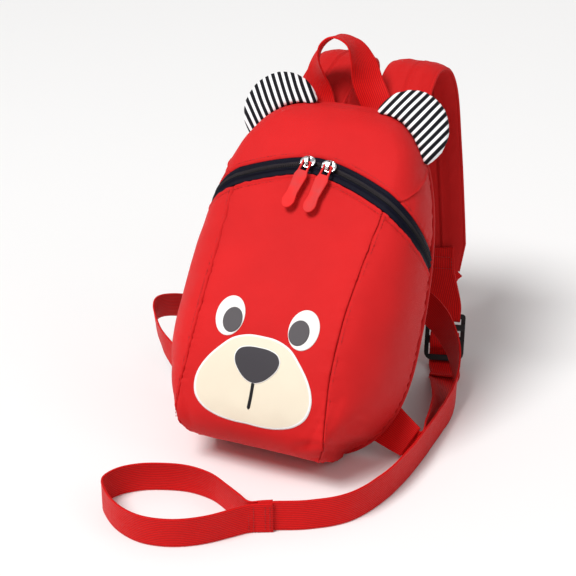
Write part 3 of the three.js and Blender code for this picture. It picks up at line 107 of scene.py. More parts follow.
def smooth(values, up):
    """A table's value at a share of the height: cubic spans whose slope at each row is the harmonic
    mean of the slopes beside it, and nought where those differ in sign."""
    slope = np.diff(values) / np.diff(SECTION_UP)
    total = slope[:-1] + slope[1:]
    product = slope[:-1] * slope[1:]
    inner = np.where(product > 0, 2 * product / np.where(product > 0, total, 1), 0)
    tangent = np.concatenate([slope[:1], inner, slope[-1:]])
    i = np.clip(np.searchsorted(SECTION_UP, up, side="left") - 1, 0, len(slope) - 1)
    span = SECTION_UP[i + 1] - SECTION_UP[i]
    t = np.clip((up - SECTION_UP[i]) / span, 0, 1)
    return (
        (2 * t**3 - 3 * t**2 + 1) * values[i]
        + (t**3 - 2 * t**2 + t) * span * tangent[i]
        + (3 * t**2 - 2 * t**3) * values[i + 1]
        + (t**3 - t**2) * span * tangent[i + 1]
    )


def rim_half(up):
    """Half the width of the back outline at a share of the height: two rounded quarters, each
    half width x (1 - distance from the widest place ^ p) ^ (1 / q)."""
    low = np.clip((RIM_WIDEST - up) / RIM_WIDEST, 0, 1)
    high = np.clip((up - RIM_WIDEST) / (1 - RIM_WIDEST), 0, 1)
    below = HALF_WIDTH * (1 - low ** RIM_LOWER[0]) ** (1 / RIM_LOWER[1])
    above = HALF_WIDTH * (1 - high ** RIM_UPPER[0]) ** (1 / RIM_UPPER[1])
    return np.where(up < RIM_WIDEST, below, above)


def rounded(height, radius):
    """Height of a quarter circle of that radius, as a share of it, which is 1 past its end."""
    low = 1 - np.clip(height / radius, 0, 1)
    return np.sqrt(1 - low * low)


def bag_point(up, across):
    """Places on the bag's outer face, in its own frame. The front is a shallow arch between two
    seams, and each side is a curve of three controls from the seam to the back rim."""
    up, across = np.broadcast_arrays(np.asarray(up, float), np.asarray(across, float))
    height = up * BAG_HEIGHT
    reach = np.abs(across)
    deep = BAG_DEPTH * smooth(SECTION_DEPTH, up) - FOOT_RADIUS * (1 - rounded(height, FOOT_RADIUS))
    deep = np.maximum(RIM_FORWARD, deep)
    rim_up = np.clip(up, RIM_BOTTOM, RIM_TOP)
    rim = rim_half(rim_up)
    seam = np.minimum(HALF_WIDTH * smooth(SECTION_SEAM, up), 0.86 * rim + 0.14 * HALF_WIDTH)
    seam = seam - SIDE_ROUND * (1 - rounded(height, SIDE_ROUND))
    seam_deep = deep - FACE_CROWN * np.minimum(1, deep / 40)
    seam_deep = np.maximum(seam_deep, RIM_FORWARD + 0.4 * (deep - RIM_FORWARD))
    share = np.minimum(reach / SEAM_PLACE, 1)
    turn = climb(reach, SEAM_PLACE, 1 - SEAM_PLACE)
    back = 1 - turn
    corner = np.maximum(seam, rim) + SIDE_BULGE * np.minimum(1, height / 60)
    side_x = back**2 * seam + 2 * turn * back * corner + turn**2 * rim
    side_y = back**2 * seam_deep + 2 * turn * back * 0.85 * seam_deep + turn**2 * RIM_FORWARD
    front = reach <= SEAM_PLACE
    x = np.where(front, seam * share, side_x)
    y = np.where(front, deep - (deep - seam_deep) * share**2, side_y)
    rim_height = rim_up * BAG_HEIGHT
    z = np.where(height < rim_height, height + (rim_height - height) * turn**16, height)
    over = 1 - np.minimum(1, x / rim_half(np.array(RIM_TOP))) ** RIM_UPPER[1]
    z = np.where(up > RIM_TOP, rim_height + (height - rim_height) * over, z)
    return np.stack([np.sign(across) * x, -y, z], axis=-1)


def outward(p):
    """Direction out of the bag at p, from the slopes of a rounded box round its middle."""
    reach = np.array([HALF_WIDTH + 8, BAG_DEPTH + 14, 0.56 * BAG_HEIGHT])
    q = np.stack([p[..., 0], np.minimum(p[..., 1], 0), p[..., 2] - 0.45 * BAG_HEIGHT], axis=-1)
    return unit((q / reach) ** 3 / reach)


def lifted(p, clear):
    """Keeps points at least that far over the surface that the bag rests on."""
    lowest = (REST_SINK + clear + p[..., 1] * math.sin(LEAN)) / math.cos(LEAN)
    return np.stack([p[..., 0], p[..., 1], np.maximum(p[..., 2], lowest)], axis=-1)


def to_world(p):
    """From the bag's frame in millimetres to the row's frame in metres: turned by the lean."""
    c, s = math.cos(LEAN), math.sin(LEAN)
    x, y, z = p[..., 0], p[..., 1], p[..., 2]
    turned = np.stack([x, y * c + z * s + REST_FORWARD, -y * s + z * c - REST_SINK], axis=-1)
    return turned * MM


def in_row(p):
    """From the bag's frame to the row's frame, both in millimetres."""
    return to_world(np.asarray(p, float)) / MM


def leaning(way):
    """A direction in the bag's frame as one in the row's frame."""
    return in_row(way) - in_row(np.zeros(3))


def zip_upper(across):
    """The zip's upper edge, which falls from the middle to the sides by a power of the place."""
    return (ZIP_CENTRE - (ZIP_CENTRE - ZIP_END) * np.abs(across) ** ZIP_BEND) / BAG_HEIGHT


def zip_lower(across):
    """The zip's lower edge: the tape's width below the upper one, and more where it slopes."""
    slope = np.abs(across) ** (ZIP_BEND - 1) * 0.2
    return zip_upper(across) - (TAPE_WIDTH / BAG_HEIGHT) * (1 + slope)


def pad_back(x, z):
    """How far the padded back stands behind the rim: a crown that falls to nought at its edges."""
    up = z / BAG_HEIGHT
    wide = np.maximum(rim_half(np.clip(up, 0.02, 0.985)) - PANEL_INSET, 1)
    side = np.minimum(1, np.abs(x) / wide)
    end = np.minimum(1, np.abs(2 * up - 1))
    return PANEL_EDGE - 1.2 + PANEL_PAD * (1 - side**3) * (1 - end**4)


def on_back(x, z, lift):
    """Places on the padded back, lifted off it, in the bag's frame."""
    x, z, lift = np.broadcast_arrays(*[np.asarray(v, float) for v in (x, z, lift)])
    return np.stack([x, pad_back(x, z) + lift, z], axis=-1)


def folds(p, size, seed):
    """Soft unevenness of about one either way: the sum of seven sine waves in fixed directions,
    over four, of about the given size, in the units of p."""
    rng = np.random.default_rng(seed)
    total = np.zeros(p.shape[:-1])
    for _ in range(7):
        way = rng.normal(size=p.shape[-1])
        way *= 2 * math.pi / (size * rng.uniform(0.7, 1.5)) / np.linalg.norm(way)
        total += np.sin(p @ way + rng.uniform(0, 2 * math.pi))
    return total / 4


def lengths(grid, axis=0):
    """Distance run along one axis of a grid or a line of points, from its first line."""
    step = np.linalg.norm(np.diff(grid, axis=axis), axis=-1)
    first = np.zeros_like(np.take(step, [0], axis=axis))
    return np.concatenate([first, np.cumsum(step, axis=axis)], axis=axis)


def sampled(rows, run, where):
    """Rows of numbers at places between those where they were given."""
    return np.stack([np.interp(where, run, column) for column in rows.T], 1)


def even_ring(closed, count):
    """Evenly spaced points round a closed line, whose last point is its first one."""
    run = lengths(closed)
    return sampled(closed, run, np.linspace(0, run[-1], count, endpoint=False))


def graded(fine, coarse, length, edge=5):
    """Shares from 0 to 1 along a length, close together within the edge at both ends."""
    ends = np.arange(0, edge, fine)
    middle = np.linspace(edge, length - edge, max(3, int((length - 2 * edge) / coarse)))
    return np.concatenate([ends, middle, (length - ends)[::-1]]) / length


# Meshes --------------------------------------------------------------------


def link(name, data):
    """A new object of the scene with that mesh, camera or light."""
    obj = bpy.data.objects.new(name, data)
    bpy.context.scene.collection.objects.link(obj)
    return obj


def finished(obj, material, body, slot, replaces):
    """Smooths an object and gives it its material, its body, its slot and the CAD nodes that it
    stands for."""
    obj.data.polygons.foreach_set("use_smooth", np.ones(len(obj.data.polygons), bool))
    obj.data.materials.clear()
    obj.data.materials.append(material)
    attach(obj, body)
    if replaces:
        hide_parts(*replaces)
    return obj


def places(mesh, kind="co"):
    """A mesh's points, or their normals, as rows of x, y and z."""
    rows = np.zeros(len(mesh.vertices) * 3)
    mesh.vertices.foreach_get(kind, rows)
    return rows.reshape(-1, 3)


def move(mesh, points):
    """Puts a mesh's points elsewhere."""
    mesh.vertices.foreach_set("co", points.astype(np.float32).ravel())
    mesh.update()


def add_mesh(name, points, faces, uv, material, replaces=(), slot=None, values=None):
    """Makes a piece of the bag at the origin from points in metres, faces as lists and a UV for
    each corner of each face. Closed shapes are turned outwards by their signed volume."""
    mesh = bpy.data.meshes.new(name)
    mesh.from_pydata(points.tolist(), [], faces)
    mesh.update()
    if uv is not None:
        layer = mesh.uv_layers.new(name="UVMap")
        layer.data.foreach_set("uv", np.asarray(uv, np.float32).ravel())
    for key, data in (values or {}).items():
        attribute = mesh.attributes.new(key, "FLOAT", "POINT")
        attribute.data.foreach_set("value", np.asarray(data, np.float32).ravel())
    mesh.calc_loop_triangles()
    tri = np.zeros(len(mesh.loop_triangles) * 3, np.int32)
    mesh.loop_triangles.foreach_get("vertices", tri)
    a, b, c = (points[tri.reshape(-1, 3)[:, k]] for k in range(3))
    if np.einsum("ij,ij->i", a, np.cross(b, c)).sum() < 0:
        mesh.flip_normals()
    slot = slot or MATERIALS[material][0]
    return finished(link(name, mesh), material_named(material), "bag", slot, replaces)


def grid_corners(rows, columns):
    """Row and column numbers of the four corners of each cell of a grid."""
    r, c = np.meshgrid(np.arange(rows), np.arange(columns), indexing="ij")
    r, c = r.ravel(), c.ravel()
    return np.stack([r, r, r + 1, r + 1], 1), np.stack([c, c + 1, c + 1, c], 1)


def sheet_piece(name, upper, lower, material, replaces):
    """A sheet with two faces, given as grids in metres, joined all round their edges. Its UV is
    the distance run across and along the upper face."""
    rows, columns = upper.shape[:2]
    count = rows * columns
    u = lengths(upper, 1)
    u = u - u[:, [columns // 2]]
    flat_uv = np.stack([u.ravel(), lengths(upper).ravel()], 1)
    r, c = grid_corners(rows - 1, columns - 1)
    quads = r * columns + c
    faces = [quads, quads[:, ::-1] + count]
    for line in (
        np.arange(columns),
        np.arange(rows) * columns + columns - 1,
        (rows - 1) * columns + np.arange(columns)[::-1],
        np.arange(rows)[::-1] * columns,
    ):
        faces.append(np.stack([line[1:], line[:-1], line[:-1] + count, line[1:] + count], 1))
    faces = np.concatenate(faces)
    points = np.concatenate([upper.reshape(-1, 3), lower.reshape(-1, 3)])
    return add_mesh(name, points, faces.tolist(), flat_uv[faces.ravel() % count], material, replaces)


def tube_shape(rings, is_ring=False):
    """Faces of a tube through rings of points, capped at both ends unless it is a ring, the points
    at their corners, and the corners' UV: round each ring and along the tube."""
    rows, around = rings.shape[:2]
    u = lengths(np.concatenate([rings, rings[:, :1]], axis=1), 1).mean(axis=0)
    run = np.concatenate([rings, rings[:1]]) if is_ring else rings
    v = lengths(run.mean(axis=1, keepdims=True))[:, 0]
    r, c = grid_corners(rows if is_ring else rows - 1, around)
    quads = (r % rows) * around + c % around
    uv = np.stack([u[c], v[r]], -1).reshape(-1, 2)
    if is_ring:
        return quads.tolist(), quads.ravel(), uv
    first = np.arange(around)[::-1]
    ends = np.stack([first, (rows - 1) * around + np.arange(around)])
    cap = np.stack([np.concatenate([u[first], u[:-1]]), np.repeat([v[0], v[-1]], around)], -1)
    corners = np.concatenate([quads.ravel(), ends.ravel()])
    return quads.tolist() + ends.tolist(), corners, np.concatenate([uv, cap])


def tube_piece(name, rings, material, replaces, is_ring=False):
    """A tube through rings of points in metres."""
    faces, _, uv = tube_shape(rings, is_ring)
    return add_mesh(name, rings.reshape(-1, 3), faces, uv, material, replaces)


def flat_tube_piece(name, rings, flat, material, replaces, values=None):
    """A tube of rings in the bag's frame, whose UV is the given pair for each point."""
    faces, corners, _ = tube_shape(rings)
    points = to_world(rings).reshape(-1, 3)
    uv = flat.reshape(-1, 2)[corners] * MM
    return add_mesh(name, points, faces, uv, material, replaces, values=values)


def through(points, t):
    """Centripetal Catmull-Rom curve through the points, where t from 0 to 1 gives each of its
    spans an equal share."""
    p = np.asarray(points, float)
    whole = np.vstack([2 * p[0] - p[1], p, 2 * p[-1] - p[-2]])
    spans = len(p) - 1
    s = np.clip(t, 0, 1) * spans
    i = np.minimum(s.astype(int), spans - 1)
    w = (s - i)[:, None]
    a, b, c, d = (whole[i + k] for k in range(4))
    root = [np.linalg.norm(q, axis=1, keepdims=True) ** 0.5 for q in (b - a, c - b, d - c)]
    g1 = np.where(root[1] < 1e-4, 1, root[1])
    g0, g2 = (np.where(root[k] < 1e-4, g1, root[k]) for k in (0, 2))
    m1 = ((b - a) / g0 - (c - a) / (g0 + g1) + (c - b) / g1) * g1
    m2 = ((c - b) / g1 - (d - b) / (g1 + g2) + (d - c) / g2) * g1
    return b + m1 * w + (3 * (c - b) - 2 * m1 - m2) * w**2 + (2 * (b - c) + m1 + m2) * w**3


def spaced(route, step):
    """Places and width directions along a route of rows x, y, z and the direction, a step apart."""
    t = np.linspace(0, 1, 60 * len(route))
    run = lengths(through(route[:, :3], t))
    count = max(4, int(run[-1] / step))
    t = np.interp(np.linspace(0, run[-1], count + 1), run, t)
    return through(route[:, :3], t), through(route[:, 3:], t)


def even(*parts, step=1.6):
    """A route made of lines and their width directions: rows a step apart, directions one long."""
    rows = [np.hstack([at, np.broadcast_to(side, at.shape)]) for at, side in parts]
    rows = np.concatenate(rows)
    at, side = spaced(np.hstack([rows[:, :3], unit(rows[:, 3:])]), step)
    return at, unit(side)


def split(rows):
    """Rows of a place and a width direction as a pair."""
    return rows[:, :3], rows[:, 3:]


def square_to(way, ahead):
    """A direction made square to another and one long."""
    return unit(way - ahead * (way * ahead).sum(-1, keepdims=True))


def carried(at, side, section):
    """Rings of points: at each place the section's pairs lie along the width direction, made
    square to the path, and along the cross product of path and width."""
    ahead = unit(np.vstack([at[1:], at[-1:]]) - np.vstack([at[:1], at[:-1]]))
    square = square_to(np.broadcast_to(side, at.shape), ahead)
    out = np.cross(ahead, square)
    section = np.broadcast_to(section, (len(at),) + section.shape[-2:])
    rings = at[:, None] + square[:, None] * section[..., :1] + out[:, None] * section[..., 1:]
    return rings, square, out


# Flat webbing: share of the half width and of the half thickness along its section's underside
UNDERSIDE = np.array([
    (-1, -0.3), (-0.985, -0.85), (-0.93, -1), (-0.85, -0.9), (-0.45, -0.86), (0, -0.88),
    (0.45, -0.86), (0.85, -0.9), (0.93, -1), (0.985, -0.85), (1, -0.3),
])
WEBBING_SECTION = np.vstack([UNDERSIDE, -UNDERSIDE])


def webbing_piece(name, node_name, route, width=25.0, thickness=1.6, seed=1, floor=None):
    """A flat band with a fuller edge at both sides, along places and width directions in
    millimetres of the row's frame. It waves by a tenth of a millimetre or two. Gives the piece and
    its path in metres."""
    rings, _, out = carried(*route, WEBBING_SECTION * np.array([width / 2, thickness / 2]))
    rings = (rings + out[:, None] * (0.14 * folds(rings, 22.0, seed))[..., None]) * MM
    if floor is not None:
        rings[..., 2] = np.maximum(rings[..., 2], floor)
    return tube_piece(name, rings, "Red webbing", [node_name]), rings.mean(1)


def arc(centre, first, second, radius, start, end, count=8):
    """Points of an arc in the plane of two directions, from one angle in degrees to another."""
    turn = np.radians(np.linspace(start, end, count + 1))[:, None]
    return np.asarray(centre) + radius * (np.cos(turn) * first + np.sin(turn) * second)


# Thread: a stitch is a short rod with tapered ends. Place along it and share of its radius
STITCH_RINGS = np.array([(-0.5, 0.35), (-0.36, 0.85), (0, 1), (0.36, 0.85), (0.5, 0.35)])
STITCH_SIDES = 6


def stitches_piece(name, lines, slot, pitch=2.8, length=2.1, radius=0.32, lift=0.1):
    """One object of all the stitches along several lines, each a pair of points and normals in
    millimetres of the row's frame. A stitch's rings lie along the line at every pitch."""
    parts = []
    for path, normals in lines:
        normals = unit(np.broadcast_to(normals, path.shape))
        run = lengths(path)
        at = np.arange(pitch / 2, run[-1], pitch)
        ahead = sampled(path, run, at + 0.4) - sampled(path, run, at - 0.4)
        parts.append((sampled(path, run, at), ahead, sampled(normals, run, at)))
    centres, along, normal = (np.concatenate(part) for part in zip(*parts))
    centres = centres + normal * lift
    along = unit(along)
    normal = square_to(normal, along)
    turn = 2 * math.pi * np.arange(STITCH_SIDES) / STITCH_SIDES
    ring = np.stack([np.cos(turn), np.sin(turn)], 1) * radius
    local = np.array([(s * length, *(r * share)) for s, share in STITCH_RINGS for r in ring])
    axes = np.stack([along, np.cross(along, normal), normal], 1)
    points = centres[:, None] + local @ axes
    r, c = grid_corners(len(STITCH_RINGS) - 1, STITCH_SIDES)
    first = np.arange(STITCH_SIDES)
    ends = np.stack([first[::-1], first + len(local) - STITCH_SIDES])
    shift = np.arange(len(centres))[:, None, None] * len(local)
    quads = r * STITCH_SIDES + c % STITCH_SIDES + shift
    faces = quads.reshape(-1, 4).tolist() + (ends + shift).reshape(-1, STITCH_SIDES).tolist()
    return add_mesh(name, points.reshape(-1, 3) * MM, faces, None, "Red thread", slot=slot)


def line_between(a, b, count=24):
    """Evenly spaced points from a to b."""
    share = np.linspace(0, 1, count)[:, None]
    return np.asarray(a) * (1 - share) + np.asarray(b) * share


# Materials -----------------------------------------------------------------


class Nodes:
    """A node tree with short ways to add to it. Any input is a socket or a plain value."""

    def __init__(self, tree):
        self.tree = tree

    def feed(self, socket, value):
        if isinstance(value, bpy.types.NodeSocket):
            self.tree.links.new(value, socket)
        else:
            socket.default_value = value

    def add(self, kind, inputs=(), **settings):
        """A node of that kind with its properties and inputs, given as its outputs."""
        made = self.tree.nodes.new("ShaderNode" + kind)
        for key, value in settings.items():
            setattr(made, key, value)
        for key, value in dict(inputs).items():
            self.feed(made.inputs[key], value)
        return made.outputs

    def math(self, operation, *values):
        return self.add("Math", enumerate(values), operation=operation)[0]

    def arch(self, value):
        """The size of a sine, a row of rounded threads side by side."""
        return self.math("ABSOLUTE", self.math("SINE", value))

    def mix(self, factor, first, second):
        return self.add("Mix", {0: factor, 6: first, 7: second}, data_type="RGBA")[2]

    def ramp(self, value, low, high):
        """Climbs from 0 at the low value to 1 at the high one."""
        inputs = {"Value": value, "From Min": low, "From Max": high}
        return self.add("MapRange", inputs, clamp=True)["Result"]

    def noise(self, vector, scale, detail):
        return self.add("TexNoise", {"Vector": vector, "Scale": scale, "Detail": detail})["Fac"]

    def wave(self, vector, scale, distortion):
        inputs = {"Vector": vector, "Scale": scale, "Distortion": distortion}
        return self.add("TexWave", inputs, bands_direction="DIAGONAL")["Fac"]

    def place(self):
        return self.add("TexCoord")["Object"]

    def uv(self):
        return self.add("UVMap", uv_map="UVMap")["UV"]

    def shared(self, name, **values):
        """One of the shared effects with its own values."""
        inputs = {key.replace("_", " "): value for key, value in values.items()}
        return self.add("Group", inputs, node_tree=shared_group(name))


def weave_effect(tree, vector, pitch, unevenness):
    """Plain weave: two crossed rows of rounded threads, each the size of a sine of the distance
    run, and the sign of the two sines' product says which thread lies on top."""
    rate = tree.math("DIVIDE", math.pi, pitch)
    parts = tree.add("SeparateXYZ", {"Vector": vector})
    warp, weft = (tree.math("SINE", tree.math("MULTIPLY", parts[axis], rate)) for axis in "XY")
    over = tree.math("GREATER_THAN", tree.math("MULTIPLY", warp, weft), 0.0)
    sizes = {0: over, 2: tree.math("ABSOLUTE", warp), 3: tree.math("ABSOLUTE", weft)}
    threads = tree.add("Mix", sizes)[0]
    rough = tree.math("MULTIPLY", tree.noise(vector, 420.0, 2.0), unevenness)
    return {"Height": tree.math("ADD", threads, rough), "Threads": threads}


def rib_effect(tree, vector, rib, pick):
    """Woven webbing: lengthwise ribs as a sine across the band, crossed by finer picks that are
    set half a pitch further on every other rib."""
    parts = tree.add("SeparateXYZ", {"Vector": vector})
    across = tree.math("DIVIDE", parts["X"], rib)
    half = tree.math("MULTIPLY", tree.math("MODULO", tree.math("FLOOR", across), 2.0), 0.5)
    ribs = tree.arch(tree.math("MULTIPLY", across, math.pi))
    along = tree.math("ADD", tree.math("DIVIDE", parts["Y"], pick), half)
    picks = tree.arch(tree.math("MULTIPLY", along, math.pi))
    height = tree.math("MULTIPLY_ADD", picks, 0.45, ribs)
    height = tree.math("MULTIPLY_ADD", tree.noise(vector, 900.0, 1.0), 0.3, height)
    return {"Height": height, "Valleys": tree.math("SUBTRACT", 1.0, ribs)}


def uneven_effect(tree, scale, fine_scale, contrast):
    """Slow and fine unevenness of a finish: two scales of noise on the object's own coordinates,
    the slow one drawn together into a mask round a half."""
    place = tree.place()
    centred = tree.math("SUBTRACT", tree.noise(place, scale, 3.0), 0.5)
    mask = tree.math("MULTIPLY_ADD", centred, contrast, 0.5)
    return {"Mask": mask, "Fine": tree.noise(place, fine_scale, 2.0)}


def wear_effect(tree, amount, scale):
    """Edge wear: a mask from how sharply the surface is bent, broken up by noise."""
    sharp = tree.ramp(tree.add("NewGeometry")["Pointiness"], 0.51, 0.62)
    broken = tree.math("MULTIPLY", sharp, tree.noise(tree.place(), scale, 4.0))
    return {"Mask": tree.math("MULTIPLY", broken, amount)}


# Shared effects: the inputs with their defaults, of which a place has none, and the function
EFFECTS = {
    "Plain weave": ({"Vector": None, "Pitch": 0.0006, "Unevenness": 0.3}, weave_effect),
    "Webbing ribs": ({"Vector": None, "Rib": 0.0016, "Pick": 0.0011}, rib_effect),
    "Uneven finish": ({"Scale": 12.0, "Fine scale": 260.0, "Contrast": 1.0}, uneven_effect),
    "Edge wear": ({"Amount": 1.0, "Scale": 90.0}, wear_effect),
}


def shared_group(name):
    """A shared effect as a node group, built the first time that it is asked for."""
    if name in bpy.data.node_groups:
        return bpy.data.node_groups[name]
    inputs, fill = EFFECTS[name]
    tree = bpy.data.node_groups.new(name, "ShaderNodeTree")
    for label, value in inputs.items():
        kind = "NodeSocketVector" if value is None else "NodeSocketFloat"
        socket = tree.interface.new_socket(label, in_out="INPUT", socket_type=kind)
        if value is not None:
            socket.default_value = value
    start = tree.nodes.new("NodeGroupInput").outputs
    results = fill(Nodes(tree), *[start[label] for label in inputs])
    for label in results:
        tree.interface.new_socket(label, in_out="OUTPUT", socket_type="NodeSocketFloat")
    end = tree.nodes.new("NodeGroupOutput").inputs
    for label, source in results.items():
        tree.links.new(source, end[label])
    return tree


def shade(colour, factor):
    """A colour made darker or lighter by a factor, opaque."""
    return (*[min(1.0, c * factor) for c in colour[:3]], 1.0)


def look():
    return bpy.context.scene.backpack_look


def detail():
    return bpy.context.scene.backpack_detail


class Material(Nodes):
    """A new material with one Principled shader, whose plain values are set on its sockets."""

    def __init__(self, name, roughness, specular=0.5, **values):
        self.made = bpy.data.materials.new(name)
        self.made.use_nodes = True
        super().__init__(self.made.node_tree)
        self.shader = next(n for n in self.tree.nodes if n.type == "BSDF_PRINCIPLED").inputs
        values.update(Roughness=roughness, Specular_IOR_Level=specular)
        for key, value in values.items():
            self.feed(self.shader[key.replace("_", " ")], value)

    def drifting(self, colour, dark, light, **values):
        """The colour drifting between two shades of it, and the drift's own outputs."""
        drift = self.shared("Uneven finish", **values)
        return self.mix(drift["Mask"], shade(colour, dark), shade(colour, light)), drift

    def lead_in(self, colour, height, distance, strength=1.0, roughness=None):
        """Leads the colour, a height in metres and a roughness into the shader."""
        self.feed(self.shader["Base Color"], colour)
        bump = self.add("Bump", {"Height": height, "Strength": strength, "Distance": distance})
        self.feed(self.shader["Normal"], bump["Normal"])
        if roughness is not None:
            self.feed(self.shader["Roughness"], roughness)
        return self.made


def cloth_material(name, colour, roughness=0.58, tone=1.0, sheen=0.02, pitch=None):
    """Woven cloth: the colour drifts slowly, the hollows between threads are darker, and the
    weave lifts the normal. It follows the piece's own UV map."""
    made = Material(name, roughness, 0.13, Sheen_Weight=sheen, Sheen_Roughness=0.45)
    weave = made.shared("Plain weave", Vector=made.uv(), Pitch=pitch or detail().weave_pitch)
    colour = shade(colour, tone)
    ground, drift = made.drifting(colour, 0.84, 1.16, Scale=14.0, Contrast=1.6)
    # Painted shade in the hollows between threads
    threads = made.mix(weave["Threads"], shade(colour, 0.72), ground)
    rough = made.math("MULTIPLY_ADD", drift["Fine"], 0.16, roughness - 0.08)
    return made.lead_in(threads, weave["Height"], 0.00012, 0.7, rough)


def webbing_material(name, colour):
    """Ribbed webbing, whose valleys are darker and which catches light along its ribs."""
    made = Material(name, 0.55, 0.13, Sheen_Weight=0.03, Sheen_Roughness=0.4)
    pitches = {"Rib": detail().rib_pitch, "Pick": detail().pick_pitch}
    ribs = made.shared("Webbing ribs", Vector=made.uv(), **pitches)
    ground, drift = made.drifting(colour, 0.86, 1.12, Scale=18.0, Contrast=1.4)
    # Painted shade in the valleys between the ribs
    dark = made.mix(ribs["Valleys"], ground, shade(colour, 0.52))
    rough = made.math("MULTIPLY_ADD", drift["Fine"], 0.2, 0.45)
    return made.lead_in(dark, ribs["Height"], 0.00022, 0.8, rough)


def mesh_material(name, colour):
    """Air mesh: round holes in rows set half a pitch apart, dark at their bottoms."""
    made = Material(name, 0.85, 0.16, Sheen_Weight=0.04)
    inputs = {"Vector": made.uv(), "Scale": 1 / detail().mesh_pitch, "Randomness": 0.22}
    cells = made.add("TexVoronoi", inputs, voronoi_dimensions="2D")
    hole = made.ramp(cells["Distance"], 0.18, 0.46)
    ground, _ = made.drifting(colour, 0.8, 1.5, Scale=16.0, Contrast=1.5)
    # Painted shade at the bottoms of the holes
    return made.lead_in(made.mix(hole, shade(colour, 0.15), ground), hole, 0.0007, 0.9)


def thread_material(name, colour):
    """Twisted thread: slanting plies as a wave on the object's coordinates."""
    made = Material(name, 0.5, 0.3, Sheen_Weight=0.05)
    plies = made.wave(made.place(), 700.0, 1.5)
    # Painted shade in the grooves between plies and painted light on their crests
    return made.lead_in(made.mix(plies, shade(colour, 0.6), shade(colour, 1.15)), plies, 0.00008)


def plastic_material(name, colour, roughness=0.32, grain=0.00003):
    """Moulded plastic: a faint orange-peel grain, duller rubbed patches and paler worn edges."""
    made = Material(name, roughness, 0.4)
    scales = {"Scale": 60.0, "Fine_scale": 1500.0, "Contrast": 1.8}
    ground, drift = made.drifting(colour, 0.75, 1.35, **scales)
    wear = made.shared("Edge wear", Amount=0.9, Scale=300.0)
    worn = (*[0.6 * c + 0.03 for c in colour[:3]], 1.0)
    rough = made.math("MULTIPLY_ADD", drift["Mask"], 0.3, roughness - 0.12)
    return made.lead_in(made.mix(wear["Mask"], ground, worn), drift["Fine"], grain, 1.0, rough)


def metal_material(name, colour):
    """Bright plated metal with fine scratches and duller smears."""
    made = Material(name, 0.16, Metallic=1.0)
    inputs = {"Vector": made.place(), "Rotation": (0.4, 0.9, 0.3), "Scale": (1.0, 14.0, 1.0)}
    scratches = made.noise(made.add("Mapping", inputs)["Vector"], 220.0, 5.0)
    ground, _ = made.drifting(colour, 0.8, 1.1, Scale=90.0, Contrast=1.5)
    rough = made.math("MULTIPLY_ADD", scratches, 0.25, 0.04)
    return made.lead_in(ground, scratches, 0.00002, 1.0, rough)


def print_material(name, colour, rim=False, tone=1.0):
    """Printed cloth: flat ink over the weave, which shows faintly, with a white rim where the
    piece's own attribute 'edge' is near one."""
    made = Material(name, 0.58, 0.2, Sheen_Weight=0.03)
    weave = made.shared("Plain weave", Vector=made.uv(), Pitch=detail().weave_pitch)
    colour = shade(colour, tone)
    ground, _ = made.drifting(colour, 0.93, 1.04, Scale=30.0, Contrast=1.0)
    # Painted shade in the hollows between threads
    inked = made.mix(weave["Threads"], shade(colour, 0.88), ground)
    if rim:
        edge = made.add("Attribute", attribute_name="edge")["Fac"]
        inked = made.mix(made.ramp(edge, 0.955, 0.965), inked, shade(look().white, 1.0))
    return made.lead_in(inked, weave["Height"], 0.0001, 0.6)


def zip_material(name, navy):
    """Zip tape: navy below, a paler twill strip over the upper coil, and a black line where the
    two tapes meet. It is told apart by the distance across the tape, which is the UV's second
    number."""
    made = Material(name, 0.5, 0.13, Sheen_Weight=0.0)
    uv = made.uv()
    across = made.add("SeparateXYZ", {"Vector": uv})["Y"]
    weave = made.shared("Plain weave", Vector=uv, Pitch=0.0009)
    tape, _ = made.drifting(navy, 0.75, 1.5, Scale=30.0, Contrast=1.3)
    # Painted shade: the hollows between the tape's threads are darker
    colour = made.mix(weave["Threads"], shade(navy, 0.4), tape)
    # Painted highlight: the strip over the upper coil is paler where it faces the light, with its diagonal
    # weave over it
    strip = look().zip_lit_strip
    lit_twill = made.mix(made.wave(uv, 330.0, 0.4), shade(strip, 0.35), shade(strip, 1.25))
    blur = 0.0003
    # The second band is painted shade: a black line in the slot where the two tapes meet
    for low, high, other in ((0.0078, 0.0126, lit_twill), (0.0061, 0.0077, (0.001, 0.001, 0.002, 1))):
        rise = made.ramp(across, low - blur, low + blur)
        fall = made.ramp(across, high + blur, high - blur)
        colour = made.mix(made.math("MULTIPLY", rise, fall), colour, other)
    return made.lead_in(colour, weave["Height"], 0.00018, 0.8)


def striped_material(name, way, bend, top, share=0.57):
    """Printed stripes at an even pitch along the given direction, bent by the square of the
    distance below the ear's top as the camera sees it, with edges a little blurred."""
    made = Material(name, 0.7, 0.15, Sheen_Weight=0.03)
    place = made.place()
    measured, height = (
        made.add("VectorMath", {0: place, 1: axis}, operation="DOT_PRODUCT")["Value"]
        for axis in (way, VIEW_UP)
    )
    below = made.math("SUBTRACT", height, top)
    curve = made.math("MULTIPLY", made.math("MULTIPLY", below, below), bend)
    straight = made.math("ADD", measured, curve)
    run = made.math("MULTIPLY_ADD", made.noise(place, 30.0, 1.0), 0.0016, straight)
    phase = made.math("FRACT", made.math("DIVIDE", run, detail().stripe_pitch))
    distance = made.math("ABSOLUTE", made.math("SUBTRACT", phase, 0.5))
    mask = made.ramp(distance, share / 2 - 0.03, share / 2 + 0.03)
    weave = made.shared("Plain weave", Vector=place, Pitch=detail().weave_pitch)
    drift = made.shared("Uneven finish", Scale=40.0, Contrast=1.2)["Mask"]
    white = made.mix(drift, (0.88, 0.88, 0.89, 1), (0.96, 0.96, 0.97, 1))
    black = made.mix(drift, (0.002, 0.002, 0.004, 1), (0.006, 0.006, 0.010, 1))
    return made.lead_in(made.mix(mask, black, white), weave["Height"], 0.00012, 0.5)


